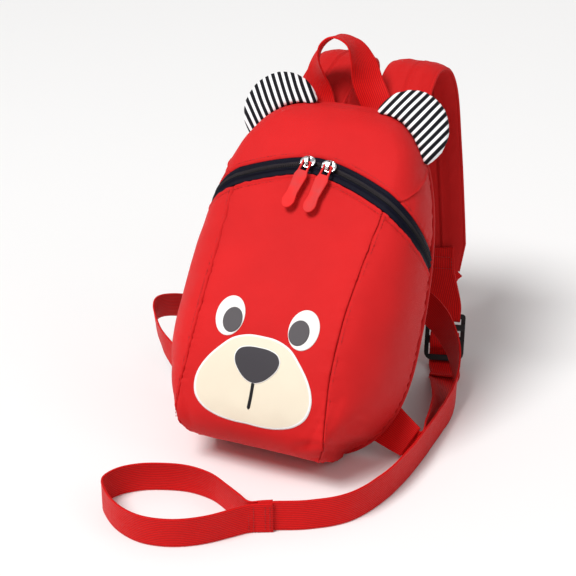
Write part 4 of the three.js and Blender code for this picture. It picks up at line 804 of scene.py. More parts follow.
# Materials by name: slot, maker, the setting of its colour, and the maker's own values
MATERIALS = {
    "Red nylon": ("red_cloth", cloth_material, "cloth"),
    "Piping cloth": ("red_cloth", cloth_material, "cloth", 0.55, 0.9),
    "Strap cloth": ("red_cloth", cloth_material, "strap", 0.6, 0.95),
    "Charcoal cloth": ("navy_cloth", cloth_material, "band", 0.7, 1.0, 0.05, 0.0007),
    "Zip tape": ("navy_cloth", zip_material, "zip_tape"),
    "Navy air mesh": ("navy_mesh", mesh_material, "mesh"),
    "Cream print": ("cream_print", print_material, "cream", True),
    "White print": ("white_print", print_material, "white"),
    "Grey print": ("grey_print", print_material, "pupil"),
    "Nose print": ("grey_print", print_material, "nose", True),
    "Mouth print": ("grey_print", print_material, "nose", False, 0.2),
    "Red webbing": ("red_webbing", webbing_material, "webbing"),
    "Red thread": ("red_webbing", thread_material, "thread"),
    "Black moulded plastic": ("black_plastic", plastic_material, "plastic"),
    "Silver metal": ("silver_metal", metal_material, "metal"),
    "Red rubber": ("red_rubber", plastic_material, "rubber", 0.62, 0.00004),
}


def material_named(name):
    """One of the materials, made the first time that it is asked for."""
    _, maker, setting, *values = MATERIALS[name]
    return bpy.data.materials.get(name) or maker(name, getattr(look(), setting), *values)


# Stage ---------------------------------------------------------------------

# Where the photograph was taken from, found by fitting the bag's known shape to its outline
EYE = Vector((0.4529, -0.9942, 0.6810))
AIM = Vector((-0.3657656, 0.81788251, -0.44416633))
VIEW_UP = (-0.181, 0.405, 0.896)
LIT_PLACE = Vector((0.0, 0.08, 0.12))
FLOOR_HALF = 24.0

# Lights: name, kind, place, size (an angle for the sun) and strength
LIGHTS = (
    ("Key light", "SUN", (-0.5, -0.95, 1.8), 0.42, 2.2),
    ("Top light", "AREA", (-0.35, -0.55, 1.5), 0.5, 5.0),
    ("Side light", "AREA", (1.4, -0.2, 1.1), 0.8, 2.0),
)


def point_at(obj, place, way):
    """Puts a camera or a light in its place, looking along the given way."""
    obj.location = place
    obj.rotation_mode = "QUATERNION"
    obj.rotation_quaternion = way.to_track_quat("-Z", "Y")


def camera_and_lights():
    """The camera at the photograph's angle and distance, soft lights on both sides and above,
    and a pale floor."""
    scene = bpy.context.scene
    camera = link("Camera", bpy.data.cameras.new("Camera"))
    point_at(camera, EYE, AIM)
    camera.data.sensor_width = 36.0
    camera.data.lens = camera.data.sensor_width / 2 / math.tan(detail().view_angle / 2)
    camera.data.clip_start = 0.05
    camera.data.clip_end = 80.0
    scene.camera = camera
    scene.world = bpy.data.worlds.new("Studio")
    scene.world.use_nodes = True
    background = scene.world.node_tree.nodes["Background"].inputs
    background["Color"].default_value = (1.0, 0.99, 0.985, 1.0)
    background["Strength"].default_value = 0.38
    scene.view_settings.view_transform = "Standard"
    scene.view_settings.look = "None"
    for name, kind, place, size, power in LIGHTS:
        light = link(name, bpy.data.lights.new(name, kind))
        point_at(light, place, LIT_PLACE - Vector(place))
        light.data.energy = power
        if kind == "SUN":
            light.data.angle = size
        else:
            light.data.shape = "DISK"
            light.data.size = size
    mesh = bpy.data.meshes.new("Floor")
    ways = ((-1, -1), (1, -1), (1, 1), (-1, 1))
    corners = [(FLOOR_HALF * x, FLOOR_HALF * y, -0.0002) for x, y in ways]
    mesh.from_pydata(corners, [], [[0, 1, 2, 3]])
    made = Material("Pale floor", 0.75, 0.2)
    drift = made.shared("Uneven finish", Scale=1.2, Contrast=0.4)["Mask"]
    pale = made.mix(drift, (0.88, 0.875, 0.87, 1), (0.92, 0.918, 0.915, 1))
    made.feed(made.shader["Base Color"], pale)
    mesh.materials.append(made.made)
    link("Floor", mesh)


# Bag -----------------------------------------------------------------------

# Pitches of the cloth's soft unevenness, and the seed that the front and its prints share
SAG_SIZE, RUCK_SIZE = 62.0, 24.0
FRONT_SEED = 3
HALF_GAP = 0.5 * SEAM_GAP / BAG_HEIGHT

# Creases of the cloth in the bag's frame: both ends as x, z, then the depth and the half width
CREASES = np.array([
    (50, 12, 57, 33, 1.5, 2.2), (40, 9, 58, 15, 1.3, 2.0), (46, 22, 56, 44, 0.8, 2.6),
    (-50, 10, -58, 30, 1.1, 2.4), (72, 22, 60, 8, 1.9, 2.4), (80, 38, 63, 15, 1.5, 3.2),
    (68, 52, 62, 24, 0.9, 3.0), (82, 60, 78, 128, 1.0, 9.0), (-80, 50, -77, 120, 1.0, 9.0),
    (62, 76, 57, 82, 0.7, 3.4), (52, 118, 61, 104, 0.8, 5.0), (-61, 100, -55, 116, 0.7, 5.0),
    (24, 222, 40, 208, 0.5, 5.0),
])


def edge_roll(distance, radius=2.2, drop=1.5):
    """How far cloth sinks towards a seam: a quarter circle over the last part of the way."""
    return -drop * (1 - rounded(distance, radius))


def pucker(run, distance, seed, size):
    """Small gathers beside a seam: unevenness along it, of 4, 7 and 17 mm, that dies away."""
    slow, middle, quick = (
        folds(run[..., None], pitch, seed + k) for k, pitch in ((1, 17.0), (0, 6.5), (2, 3.6))
    )
    gathers = middle + 0.9 * slow + 0.4 * quick * np.exp(-distance / 2.5)
    return size * gathers * np.exp(-distance / 6) * np.clip(distance / 1.2 + 0.25, 0, 1)


def crease(p):
    """How far creases sink the cloth: each is a trough of bell section round a line, fading at
    both of its ends."""
    total = np.zeros(p.shape[:-1])
    flat = p[..., [0, 2]]
    for x0, z0, x1, z1, depth, half in CREASES:
        start, run = np.array([x0, z0]), np.array([x1 - x0, z1 - z0])
        t = np.clip(((flat - start) @ run) / (run @ run), 0, 1)
        distance = np.linalg.norm(flat - (start + t[..., None] * run), axis=-1)
        total -= depth * bell(distance, half)
    return total


def lie(p, sag, seed):
    """How cloth lies away from its seams: slow unevenness, finer rucks and the creases."""
    return sag * folds(p, SAG_SIZE, seed) + 0.22 * folds(p, RUCK_SIZE, seed + 7) + crease(p)


def dressed(base, lip=0.0, seed=1, sag=0.55, sewn=(True,) * 4):
    """Offsets of a sewn panel from its plain grid: every edge rolls into its seam and gathers a
    little, the cloth lies unevenly, and the upper edge may be folded into a lip."""
    across, up = lengths(base, 1), lengths(base)
    gaps = ((across, up), (across[:, -1:] - across, up), (up, across), (up[-1:] - up, across))
    offset = lie(base, sag, seed)
    for distance, _ in gaps:
        offset = offset * np.clip(distance / 9, 0.12, 1)
    for k, (distance, run) in enumerate(gaps):
        if sewn[k]:
            gather = pucker(run, distance, seed + 11 * k, 0.85 if k < 2 else 0.5)
            offset = offset + edge_roll(distance) + gather
    if lip:
        to_edge = gaps[3][0]
        offset = offset + lip * bell(to_edge - 1.7, 1.1) - 0.5 * bell(to_edge - 4.0, 0.6)
    return offset


def cloth_panel(name, node_name, base, offset, wall=1.7):
    """A cloth piece from a grid of points and offsets: its inner face lies a wall further in."""
    way = outward(base)
    upper = lifted(base + way * offset[..., None], 0.05)
    lower = lifted(base + way * (np.minimum(offset, 0) - wall)[..., None], 0.6)
    sheet_piece(name, to_world(upper), to_world(lower), "Red nylon", [node_name])


def between(columns, shares, lower, upper):
    """Plain grid on the bag between two lines across it, each a function of the place across."""
    low, high = lower(columns), upper(columns)
    return lifted(bag_point(low + (high - low) * shares[:, None], columns[None, :]), 0)


def base_rows(columns, count=16):
    """Bottom of the bag: rows run from side to side, from the back rim to the front seam, and
    follow the lowest line of both side panels."""
    turn = np.linspace(1, 0.06, count)
    last = 1 - 1 / 6
    near = bag_point(0.0, SEAM_PLACE + (1 - SEAM_PLACE) * np.minimum(turn, last))
    mix = climb(turn, last, 1 - last)[:, None]
    side = near * (1 - mix) + bag_point(0.0, 1.0) * mix
    share = columns / SEAM_PLACE
    height = side[:, 2:] * np.abs(share) ** 6
    height[0] = side[0, 2]
    x = (side[:, :1] - 0.6 * SEAM_GAP) * share
    return lifted(np.stack([x, np.broadcast_to(side[:, 1:2], x.shape), height], -1), 0)


def both_ways(places, sign):
    """Places across the right side, or the same on the left one in the other order."""
    return places if sign > 0 else -places[::-1]


def body_cloth():
    """Front panel with the bag's bottom, both side panels, the top and the two side yokes."""
    bottom, top = (lambda a: 0 * a), (lambda a: 0 * a + 1.0)
    under_zip = lambda a: zip_lower(a) - HALF_GAP
    front_wide, yoke_foot = 118, YOKE_PLACE + 0.02
    shares = graded(0.6, 2.6, 235)
    columns = -SEAM_PLACE + graded(0.55, 2.4, front_wide) * 2 * SEAM_PLACE
    columns = columns * (1 - SEAM_GAP / front_wide)
    base = np.concatenate([base_rows(columns), between(columns, shares[1:], bottom, under_zip)])
    cloth_panel("front_cloth", "front_panel", base, dressed(base, 0.75, FRONT_SEED))
    side = SEAM_PLACE + graded(0.55, 2.4, 84) * (1 - SEAM_PLACE) + 0.5 * SEAM_GAP / 170
    for name, sign in SIDES:
        side_places = both_ways(np.minimum(side, 1.0), sign)
        base = between(side_places, shares, lambda a: 0 * a + HALF_GAP, under_zip)
        offset = dressed(base, 0.75, 20 + sign)
        cloth_panel(f"side_cloth_{name}", f"side_gusset_{name}", base, offset)

    def yoke_line(a):
        """The seam between the top and a yoke, which climbs from the zip by a power."""
        start = zip_upper(YOKE_PLACE)
        rise = np.maximum(0, (np.abs(a) - YOKE_PLACE) / (1 - YOKE_PLACE)) ** 1.2
        return start + (YOKE_TOP - start) * rise

    def low(a):
        """The top panel's lower edge: over the zip, and lapped over the yokes beyond it."""
        lapped = yoke_line(a) - 2.0 * HALF_GAP
        return np.where(np.abs(a) <= yoke_foot, zip_upper(a) + 1.5 * HALF_GAP, lapped)

    columns = -1 + 2 * graded(0.6, 2.2, 240)
    base = between(columns, 1 - (1 - graded(0.6, 2.0, 75)) ** 1.5, low, top)
    offset = dressed(base[::-1], 0.0, 40, 0.4, (False, False, False, True))[::-1]
    rise = lengths(base)
    lap = climb(np.abs(columns), YOKE_PLACE + 0.01, 0.03)
    offset = offset + lap * (0.55 * bell(rise - 1.0, 0.9) + 0.75 * bell(rise, 3.0))
    cloth_panel("top_cloth", "top_panel", base, offset)
    for name, sign in SIDES:
        yoke_places = both_ways(yoke_foot + (1 - yoke_foot) * graded(0.6, 2.0, 62), sign)
        over_zip, under_top = (lambda a: zip_upper(a) + HALF_GAP), (lambda a: yoke_line(a) - 1.5 * HALF_GAP)
        base = between(yoke_places, graded(0.6, 2.0, 42), over_zip, under_top)
        offset = dressed(base, 0.0, 60 + sign, 0.3, (True, True, True, False))
        cloth_panel(f"yoke_cloth_{name}", f"side_yoke_{name}", base, offset)


def zip_height(v, run):
    """Height of the closed zip at a distance across its tape: two ridges over the hidden coil,
    which ripple with its teeth, a deep slot between them, and thin tape at both sides."""
    ripple = 1 + 0.16 * np.sin(2 * math.pi * run / 1.5)
    ridge = bell(v - 4.9, 1.35, 4) + bell(v - 9.1, 1.35, 4)
    return -0.85 + 1.45 * ridge * ripple - 0.9 * bell(v - 7.0, 0.42)


def closing_zip():
    """The zip from end to end of the bag's mouth, one sheet, with the coil's ridges in it."""
    tape, coil, edge = np.arange(0, 3, 0.6), np.arange(3, 11.2, 0.28), np.arange(11.3, 14.1, 0.6)
    v = np.concatenate([tape, coil, edge]) / TAPE_WIDTH
    columns = np.linspace(-1, 1, 620)
    low, high = (lambda a: zip_lower(a) + HALF_GAP), (lambda a: zip_upper(a) - HALF_GAP)
    base = between(columns, v, low, high)
    across = lengths(base)
    offset = zip_height(across / across[-1:] * TAPE_WIDTH, lengths(base, 1))
    way = outward(base)
    upper = to_world(base + way * offset[..., None])
    lower = to_world(base + way * (np.minimum(offset, -0.5) - 0.9)[..., None])
    sheet_piece("zip_band", upper, lower, "Zip tape", ["zip_tape", "zip_coil"])


def rim_outline(offset, count):
    """Outline of the bag's back moved outwards: two rounded quarters, cut level at the bottom."""
    turn = np.linspace(0, 2 * math.pi, 4001)
    turn[-1] = 0
    c, s = np.cos(turn), np.sin(turn)
    across = np.where(s >= 0, RIM_UPPER[1], RIM_LOWER[1])
    along = np.where(s >= 0, RIM_UPPER[0], RIM_LOWER[0])
    x = HALF_WIDTH * np.sign(c) * np.abs(c) ** (2 / across)
    span = np.where(s >= 0, 1 - RIM_WIDEST, RIM_WIDEST)
    z = BAG_HEIGHT * (RIM_WIDEST + np.sign(s) * span * np.abs(s) ** (2 / along))
    p = even_ring(np.stack([x, np.maximum(z, RIM_CUT)], -1), count)
    ahead = np.roll(p, -2, axis=0) - np.roll(p, 2, axis=0)
    moved = p + unit(np.stack([ahead[:, 1], -ahead[:, 0]], 1)) * offset
    moved[:, 1] = np.maximum(moved[:, 1], RIM_CUT + offset)
    return moved


def back_piping():
    """Corded edge all round the back: a round tube that waves a little, with its sewn flap."""
    x, z = rim_outline(-0.6, 360).T
    out = unit(np.stack([x, 0 * x, z - 0.45 * BAG_HEIGHT], 1))
    middle = np.stack([x, 0 * x + PIPING_RADIUS + 0.3 - RIM_FORWARD, z], 1)
    turn = np.linspace(0, 2 * math.pi, 17)[:-1, None]
    radius = PIPING_RADIUS * (1 + 0.03 * folds(middle, 15.0, 5))[:, None, None]
    rings = middle[:, None] + radius * (out[:, None] * np.cos(turn) + AHEAD * np.sin(turn))
    rings = to_world(lifted(rings, 0.3))
    tube_piece("corded_edge", rings, "Piping cloth", ["piping"], is_ring=True)


def back_pad():
    """Padded back: rings shrink from the rim to the middle over a crowned face with two sewn
    channels, and close again in front of it. A cloth band lies across its upper part."""
    outline = rim_outline(-0.6 - PIPING_RADIUS - SEAM_GAP - 0.3, 200)
    heart = np.array([0, 0.47 * BAG_HEIGHT])
    shares = np.concatenate([np.linspace(0.02, 0.9, 34), [0.93, 0.955, 0.975, 0.99, 1.0]])
    flat = heart + (outline - heart) * shares[:, None, None]
    x, z = flat[..., 0], flat[..., 1]
    depth = pad_back(x, z) + edge_roll((1 - shares)[:, None] * 90, 3.0, 1.6)
    depth = depth + 0.5 * folds(flat, 45.0, 9) + 0.2 * folds(flat, 16.0, 10)
    quilted = (z > 60) & (z < STRAP_SEAM - BAND_HEIGHT)
    for place in (-0.32, 0.32):
        depth = depth - 1.5 * bell(x - place * rim_half(z / BAG_HEIGHT), 1.6) * quilted
    back, front = np.stack([x, depth, z], -1), np.stack([x, 0 * x - 1.0, z], -1)
    rings = np.concatenate([back, front[::-1][1:]])
    pad = flat_tube_piece("back_pad", rings, rings[..., [0, 2]], "Navy air mesh", ["back_panel"])
    z = np.linspace(STRAP_SEAM - BAND_HEIGHT, STRAP_SEAM, 30)[:, None]
    x = 0.93 * (rim_half(z / BAG_HEIGHT) - PANEL_INSET) * np.linspace(-1, 1, 90)
    face = on_back(x, z, SEAM_GAP + 0.25)
    up = lengths(face)
    lift = 0.6 + edge_roll(up, 1.6, 0.8) + edge_roll(up[-1:] - up, 1.6, 0.8)
    lift = np.maximum(lift + 0.25 * folds(face, 30.0, 12), 0.15)
    upper, lower = to_world(face + AHEAD * lift[..., None]), to_world(face)
    sheet_piece("back_band_cloth", upper, lower, "Charcoal cloth", ["back_band"])


# Face ----------------------------------------------------------------------

# Half outlines of the muzzle and the nose, from the top down: distance out and height
MUZZLE = np.array([
    (0, 85), (12, 84.2), (24, 79.5), (34, 70), (42, 60), (47, 50), (48.5, 41), (46, 31),
    (38, 23.5), (26, 19.2), (12, 17.8), (0, 18),
])
NOSE = np.array([
    (0, 76.6), (9, 76), (15.8, 73.4), (18.8, 68.4), (18, 62.6), (13.6, 56.2), (7.4, 51), (0, 48.8),
])
MOUTH_FOOT, MOUTH_TOP, MOUTH_HALF = 29.2, 49.5, 1.3


def on_face(x, z, lift):
    """Places on the front panel at a distance across and a height, lifted off the cloth."""
    up = z / BAG_HEIGHT
    p = bag_point(up, SEAM_PLACE * x / bag_point(up, SEAM_PLACE)[..., 0])
    return p + outward(p) * (lie(p, 0.55, FRONT_SEED) + lift)[..., None]


def closed_outline(points, count=120):
    """Evenly spaced points round a closed smooth curve through the given ones."""
    p = np.vstack([points[-3:], points, points[:4]])
    t = np.linspace(0, 1, 40 * len(p))
    dense = through(np.column_stack([p, np.zeros(len(p))]), t)[:, :2]
    first, last = 3 / (len(p) - 1), (3 + len(points)) / (len(p) - 1)
    return even_ring(dense[(t >= first) & (t <= last)], count)


def both_halves(rows):
    """A whole outline from its right half."""
    return np.vstack([rows, rows[1:-1][::-1] * [-1, 1]])


def printed(name, node_name, outline, lift, material, rings=14):
    """A thin print on the front panel: rings shrink from the outline to its middle on the outer
    face and grow again on the inner one."""
    outline = closed_outline(outline)
    middle = (outline.max(0) + outline.min(0)) / 2
    shares = np.linspace(0.02, 1, rings) ** 0.8
    flat = middle + (outline - middle) * shares[:, None, None]
    thick = 0.22 * np.sqrt(np.clip((1 - shares) * 60, 0, 1))[:, None]
    upper, lower = (on_face(flat[..., 0], flat[..., 1], lift + d) for d in (thick, -0.25))
    edge = np.repeat(np.concatenate([shares, shares[::-1]]), len(outline))
    points = np.concatenate([upper, lower[::-1]])
    flat = np.concatenate([flat, flat[::-1]])
    flat_tube_piece(name, points, flat, material, [node_name], {"edge": edge})


def oval(x, z, wide, tall):
    """An upright oval as points round its middle."""
    turn = np.linspace(0, 2 * math.pi, 24, endpoint=False)
    return np.stack([x + wide / 2 * np.cos(turn), z + tall / 2 * np.sin(turn)], 1)


def bear_face():
    """Printed muzzle, nose, mouth, eyes and pupils. The upper prints lie over the lower ones."""
    low, high = 0.35, 0.8
    printed("muzzle_print", "muzzle", both_halves(MUZZLE), low, "Cream print", 26)
    printed("nose_print", "nose", both_halves(NOSE), high, "Nose print")
    z = np.linspace(MOUTH_FOOT, MOUTH_TOP, 46)[:, None]
    half = MOUTH_HALF * np.sqrt(np.clip((z - MOUTH_FOOT) / 1.4, 0.04, 1))
    x = half * np.linspace(-1, 1, 9) + 0.5 * np.sin((z - 29) / 9)
    crown = 0.18 * np.sqrt(1 - np.linspace(-0.97, 0.97, 9) ** 2)
    upper, lower = on_face(x, z + 0 * x, 0.75 + crown), on_face(x, z + 0 * x, 0.5)
    sheet_piece("mouth_print", to_world(upper), to_world(lower), "Mouth print", ["mouth"])
    for name, s in SIDES[::-1]:
        for part, outline, lift, material in (
            ("eye", oval(s * 30.4, 95.5, 24, 31), low, "White print"),
            ("pupil", oval(s * 27.4, 92.8, 16, 19.5), high, "Grey print"),
        ):
            printed(f"{part}_print_{name}", f"{part}_{name}", outline, lift, material)


# Ears ----------------------------------------------------------------------

# The way across the stripes of each ear, and how much they bend
STRIPES = {"left": ((0.855, 0.49, 0.19), -3.0), "right": ((0.773, 0.002, -0.634), 0.0)}
EAR_VOXEL, EAR_PRESSURE, EAR_FRAMES, EAR_GROWTH = 0.0028, 3.0, 14, 0.0035


def merged_copy(node_name, name):
    """A CAD node's shape as a new mesh whose loose triangles are merged and whose flat faces are
    whole."""
    form = bmesh.new()
    form.from_mesh(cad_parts[node_name].data)
    bmesh.ops.remove_doubles(form, verts=form.verts, dist=0.00001)
    flat = math.radians(1.0)
    bmesh.ops.dissolve_limit(form, angle_limit=flat, verts=form.verts, edges=form.edges)
    mesh = bpy.data.meshes.new(name)
    form.to_mesh(mesh)
    form.free()
    return mesh


def apply_modifiers(obj):
    """Turns what an object's modifiers make of it into its own mesh."""
    graph = bpy.context.evaluated_depsgraph_get()
    mesh = bpy.data.meshes.new_from_object(obj.evaluated_get(graph))
    obj.modifiers.clear()
    obj.data = mesh


def stuffed(obj):
    """Blows a shape up as sewn cloth: remeshed evenly, its cloth pressed outwards without weight
    for some frames, and no point moved further than the ear's growth. Gives its points."""
    remesh = obj.modifiers.new("Even mesh", "REMESH")
    remesh.mode = "VOXEL"
    remesh.voxel_size = EAR_VOXEL
    apply_modifiers(obj)
    before = places(obj.data)
    cloth = obj.modifiers.new("Cloth", "CLOTH")
    cloth.settings.use_pressure = True
    cloth.settings.uniform_pressure_force = EAR_PRESSURE
    cloth.settings.effector_weights.gravity = 0.0
    cloth.settings.shrink_min = -0.02
    cloth.point_cache.frame_end = EAR_FRAMES
    scene = bpy.context.scene
    for number in range(1, EAR_FRAMES + 1):
        scene.frame_set(number)
    apply_modifiers(obj)
    scene.frame_set(1)
    shift = places(obj.data) - before
    far = np.linalg.norm(shift, axis=1, keepdims=True)
    return before + shift * np.minimum(1, EAR_GROWTH / np.maximum(far, 1e-9))


def ears():
    """Round stuffed ears of striped cloth. Each starts as its CAD solid a little shrunk, is blown
    up as cloth, and lies a little unevenly."""
    for name, (way, bend) in STRIPES.items():
        mesh = merged_copy(f"ear_{name}", f"stuffed_ear_{name}")
        points = places(mesh)
        top = float((points @ VIEW_UP).max())
        obj = link(f"stuffed_ear_{name}", mesh)
        middle = (points.max(0) + points.min(0)) / 2
        move(mesh, middle + (points - middle) * 0.985)
        points = stuffed(obj)
        points[:, 1] += 0.00025 * folds(points / MM, 14.0, 31)
        move(obj.data, points)
        fine = obj.modifiers.new("Fine", "SUBSURF")
        fine.levels = fine.render_levels = 1
        material = striped_material(f"Striped cloth {name}", way, bend, top)
        finished(obj, material, "bag", "striped_cloth", [f"ear_{name}"])


# Webbing and cords ---------------------------------------------------------

RING_BAR = on_back(0, 250.8, 4.3)
FRAME_FOOT = np.array([0, 138.097, 127.678])
HANDLE_SEAM = 251

# The lead's free part and the hand loop's middle line, then the seam that joins the two
LEASH_LAY = np.array([
    (16, 149, 86, -0.1, 0.95, 0.3), (34, 156, 74, -0.1, 0.8, 0.6), (57, 160, 66, 0, 0.5, 0.87),
    (78, 155, 55, 0.1, 0.2, 1), (95, 143, 40, 0.2, 0, 1), (106, 124, 24, 0.1, 0, 1),
    (111, 100, 14.5, 0, 0, 1), (112, 70, 12.7, 0, 0, 1), (112, 38, 12.7, 0, 0, 1),
    (111, 5, 12.7, 0, 0, 1), (105, -40, 12.7, 0, 0, 1), (91, -76, 12.7, 0, 0, 1),
    (68, -96.5, 12.7, 0, 0, 1), (46, -107.9, 12.7, 0, 0, 1), (35.2, -113.8, 12.7, 0, 0, 1),
])
LOOP_LAY = np.array([
    (21, -129.5), (7, -145), (-13, -158), (-34, -162.5), (-54, -158), (-72, -146), (-84, -131),
    (-81, -116), (-70, -104), (-53, -95), (-33, -90), (-14, -92), (5, -101.5), (18, -109),
])
JOINT = np.array([30, -116.6, 12.7])
JOINT_WAY = np.array([-0.878, -0.478, 0])
JOINT_BESIDE = np.array([-0.478, 0.878, 0])
HANDLE_LAY = np.array([
    (-25, 5.8, 268, -1, 0, 0), (-31, 4.9, 285, -0.99, 0.1, 0), (-35.5, 0.5, 300, -0.85, 0.5, 0),
    (-34, -7, 315, -0.5, 0.85, 0.2), (-27, -14.5, 326, -0.15, 1, 0.3), (-17, -18.5, 331, 0, 1, 0.35),
    (-5, -15.5, 328, 0.15, 1, 0.3), (3.5, -8, 317, 0.5, 0.85, 0.2), (9.5, 0, 301, 0.85, 0.5, 0),
    (19, 5.2, 284, 0.99, 0.1, 0), (25, 5.9, 268, 1, 0, 0),
])
WING_TIPS = {1: [(88, 5.1, 34.2), (103, 5.3, 27.3)], -1: [(-86.5, 5.6, 34.8), (-97, 9.6, 30.2)]}


def free_cord(name, node_name, route, width, seed):
    """A cord of webbing on the floor, declared with its own path and length."""
    cord, path = webbing_piece(name, node_name, route, width, 1.7, seed, 0.0001)
    route = [tuple(p) for p in path]


def leash():
    """The lead: sewn in a fold round the hook's eye, down the back, over the lower webbing and
    along the floor on its edge to the hand loop, which is a second cord sewn to its end."""
    foot = FRAME_FOOT
    fold = np.vstack([
        foot + [-1.1, 1, -21], foot + [-3.4, 0.3, -9], foot + [-4.7, 0, -3],
        arc(foot, OUT, UP, 4.7, 180, 0),
        foot + [4.7, 0, -3], foot + [3.4, 0.3, -9], foot + [1.1, 1, -22],
    ])
    free = np.vstack([[5, foot[1] + 3, foot[2] - 32, 0, 1, 0.05], LEASH_LAY])
    at, side = even((fold, AHEAD), split(free))
    at[:, 2] = np.maximum(at[:, 2], 12.6 * np.abs(side[:, 2]) + 0.2)
    free_cord("lead", "leash", (at, side), 25.0, 3)
    pad = [[JOINT - JOINT_WAY * b + JOINT_BESIDE * s * 2.08 for b in (0, 8.5, 17)] for s in (-1, 1)]
    lay = np.column_stack([LOOP_LAY, np.full(len(LOOP_LAY), JOINT[2])])
    at, side = even((np.vstack([pad[0][::-1], lay, pad[1]]), UP))
    tilt = 0.05 * np.sin(np.linspace(0, 2 * math.pi, len(at)))
    side = side + tilt[:, None] * np.cross(side, np.gradient(at, axis=0))
    free_cord("hand_loop_webbing", "hand_loop", (at, side), 24.8, 8)
    lines = []
    for b in (-14.5, -11.0, -2.5, 1.0):
        for s in (-1, 1):
            middle = JOINT + JOINT_WAY * b + JOINT_BESIDE * s * 2.95
            lines.append((line_between(middle - UP * 10.5, middle + UP * 10.5), JOINT_BESIDE * s))
    stitches_piece("loop_stitches", lines, "red_webbing", 2.6, 2.0, 0.34)
    lines = []
    for drop in (11.5, 14.5, 17.5):
        for s in (-1, 1):
            x = s * (4.4 - 0.15 * drop + 0.62)
            lines.append((line_between(foot + [x, -10.2, -drop], foot + [x, 11, -drop]), OUT * s))
    stitches_piece("fold_stitches", lines, "red_webbing", 2.6, 2.0, 0.34)


def handle_and_tabs():
    """Grab handle, the folded tab that holds the ring, and the tabs at the bottom corners."""
    left, right = (on_back(x, HANDLE_SEAM, SEAM_GAP + 0.8)[None] for x in (-25, 25))
    at, side = even((left, -OUT), split(HANDLE_LAY), (right, OUT), step=1.4)
    route = in_row(at), leaning(side)
    webbing_piece("handle_webbing", "grab_handle", route, 25, 1.7, 5)
    at = np.vstack([
        on_back(0, [271, 263, 256.5], SEAM_GAP + 0.8), arc(RING_BAR, AHEAD, UP, 3.2, 165, 360),
        RING_BAR + [0, 3, 4], RING_BAR + [0, 1.6, 12], RING_BAR + [0, 0.6, 21],
    ])
    at, side = even((at, OUT), step=1.2)
    webbing_piece("ring_webbing", "ring_tab", (in_row(at), side), 22, 1.6, 6)
    for name, s in SIDES:
        at = np.vstack([on_back(62 * s, 46, 1.5), on_back(76 * s, 40, 1.6), WING_TIPS[s]])
        at, side = even((at, [0.42 * s, 0, 0.91]))
        wider = 1.5 - 0.5 * np.linspace(0, 1, len(at))[:, None, None] * [1, 0] - [0, 0.5]
        section = WEBBING_SECTION * np.array([27 / 2, 0.9]) * wider
        rings = carried(in_row(at), leaning(side), section)[0] * MM
        tube_piece(f"wing_webbing_{name}", rings, "Red webbing", [f"wing_tab_{name}"])


# Harness -------------------------------------------------------------------

STRAP_LAY = np.array([
    (38, 131.6, 198.5, 1, 0, 0), (38, 142, 212, 1, 0, 0), (35.5, 160, 232, 1, 0, 0),
    (32.5, 183, 249, 1, 0, 0), (31, 207, 255, 1, 0, 0), (32, 227, 249, 1, 0.02, 0),
    (35, 237, 230, 1, 0.05, 0), (42, 234, 180, 1, 0.1, 0), (51, 223, 122, 1, 0.2, 0),
    (60, 208, 73, 1, 0.28, 0),
])
STRAP_WIDTH = 46.0
STRAP_PAD = 8.0
BINDING = 2.6
LOCK_SIDE = unit(np.array([1, 0.28, 0]))
LOCK_AXIS = unit(np.array([-0.118, 0.42, 0.9]))
LOCK_FRONT = np.cross(LOCK_SIDE, LOCK_AXIS)
LOCK_MIDDLE = np.array([75, 183, 24.6])
LOCK_BAR = LOCK_MIDDLE + 18.25 * LOCK_AXIS
TAB_LAYER = 4.278
BUCKLE = np.array([4, 218.5, 58])

# Lower webbing, by side: its lay, the fold through the lock, its foot, its turn and its free end
LOWER_LAY = {
    1: np.array([
        (106.5, 46, 13.4, 0.05, 0.1, 1), (102, 82, 13, -0.2, 0.1, 0.97),
        (94, 120, 10.5, -0.75, -0.1, 0.65), (87, 146, 3.6, -1, -0.25, 0.2),
    ]),
    -1: np.array([
        (-113, 47, 23.5, -0.1, 0.1, 1), (-140, 67, 34, 0, -0.2, 1), (-160, 97, 43, 0.1, -0.3, 0.95),
        (-147, 128, 34, 0.3, -0.1, 0.95), (-121, 144, 15, 0.7, -0.3, 0.6),
        (-98, 150, 5.5, 0.85, -0.5, 0.05),
    ]),
}
THREADED = np.array([
    (-24.6, -0.5), (-24.2, -3.5), (-21.5, -5.8), (-14, -6.2), (-5, -5.6), (1.4, -3.6), (3.4, -1),
    (3.2, 2.2), (1, 4.2), (-2.5, 4.8), (-6, 4.2), (-8.6, 2), (-9.6, -0.6), (-12, -2.6),
    (-17, -3.9), (-20.4, -3.6), (-22, -1.4),
])
CORNERS = {1: [(92, 7.6, 32.2), (105, 9.5, 26.2)], -1: [(-89, 8.6, 33), (-98, 14, 29.5)]}
TURNS = {1: (84.5, 161, 1.1), -1: (-85, 160, 1.6)}
TAILS = {
    1: [(84, 161, 3.4), (85.5, 153, 4.8), (87.5, 146, 8)],
    -1: [(-84, 161, 3.4), (-86.5, 154, 5), (-93, 148.5, 9)],
}


def mirrored(rows, s):
    """Rows of x, y, z with x turned over for the left side."""
    return rows * np.array([s, 1, 1])


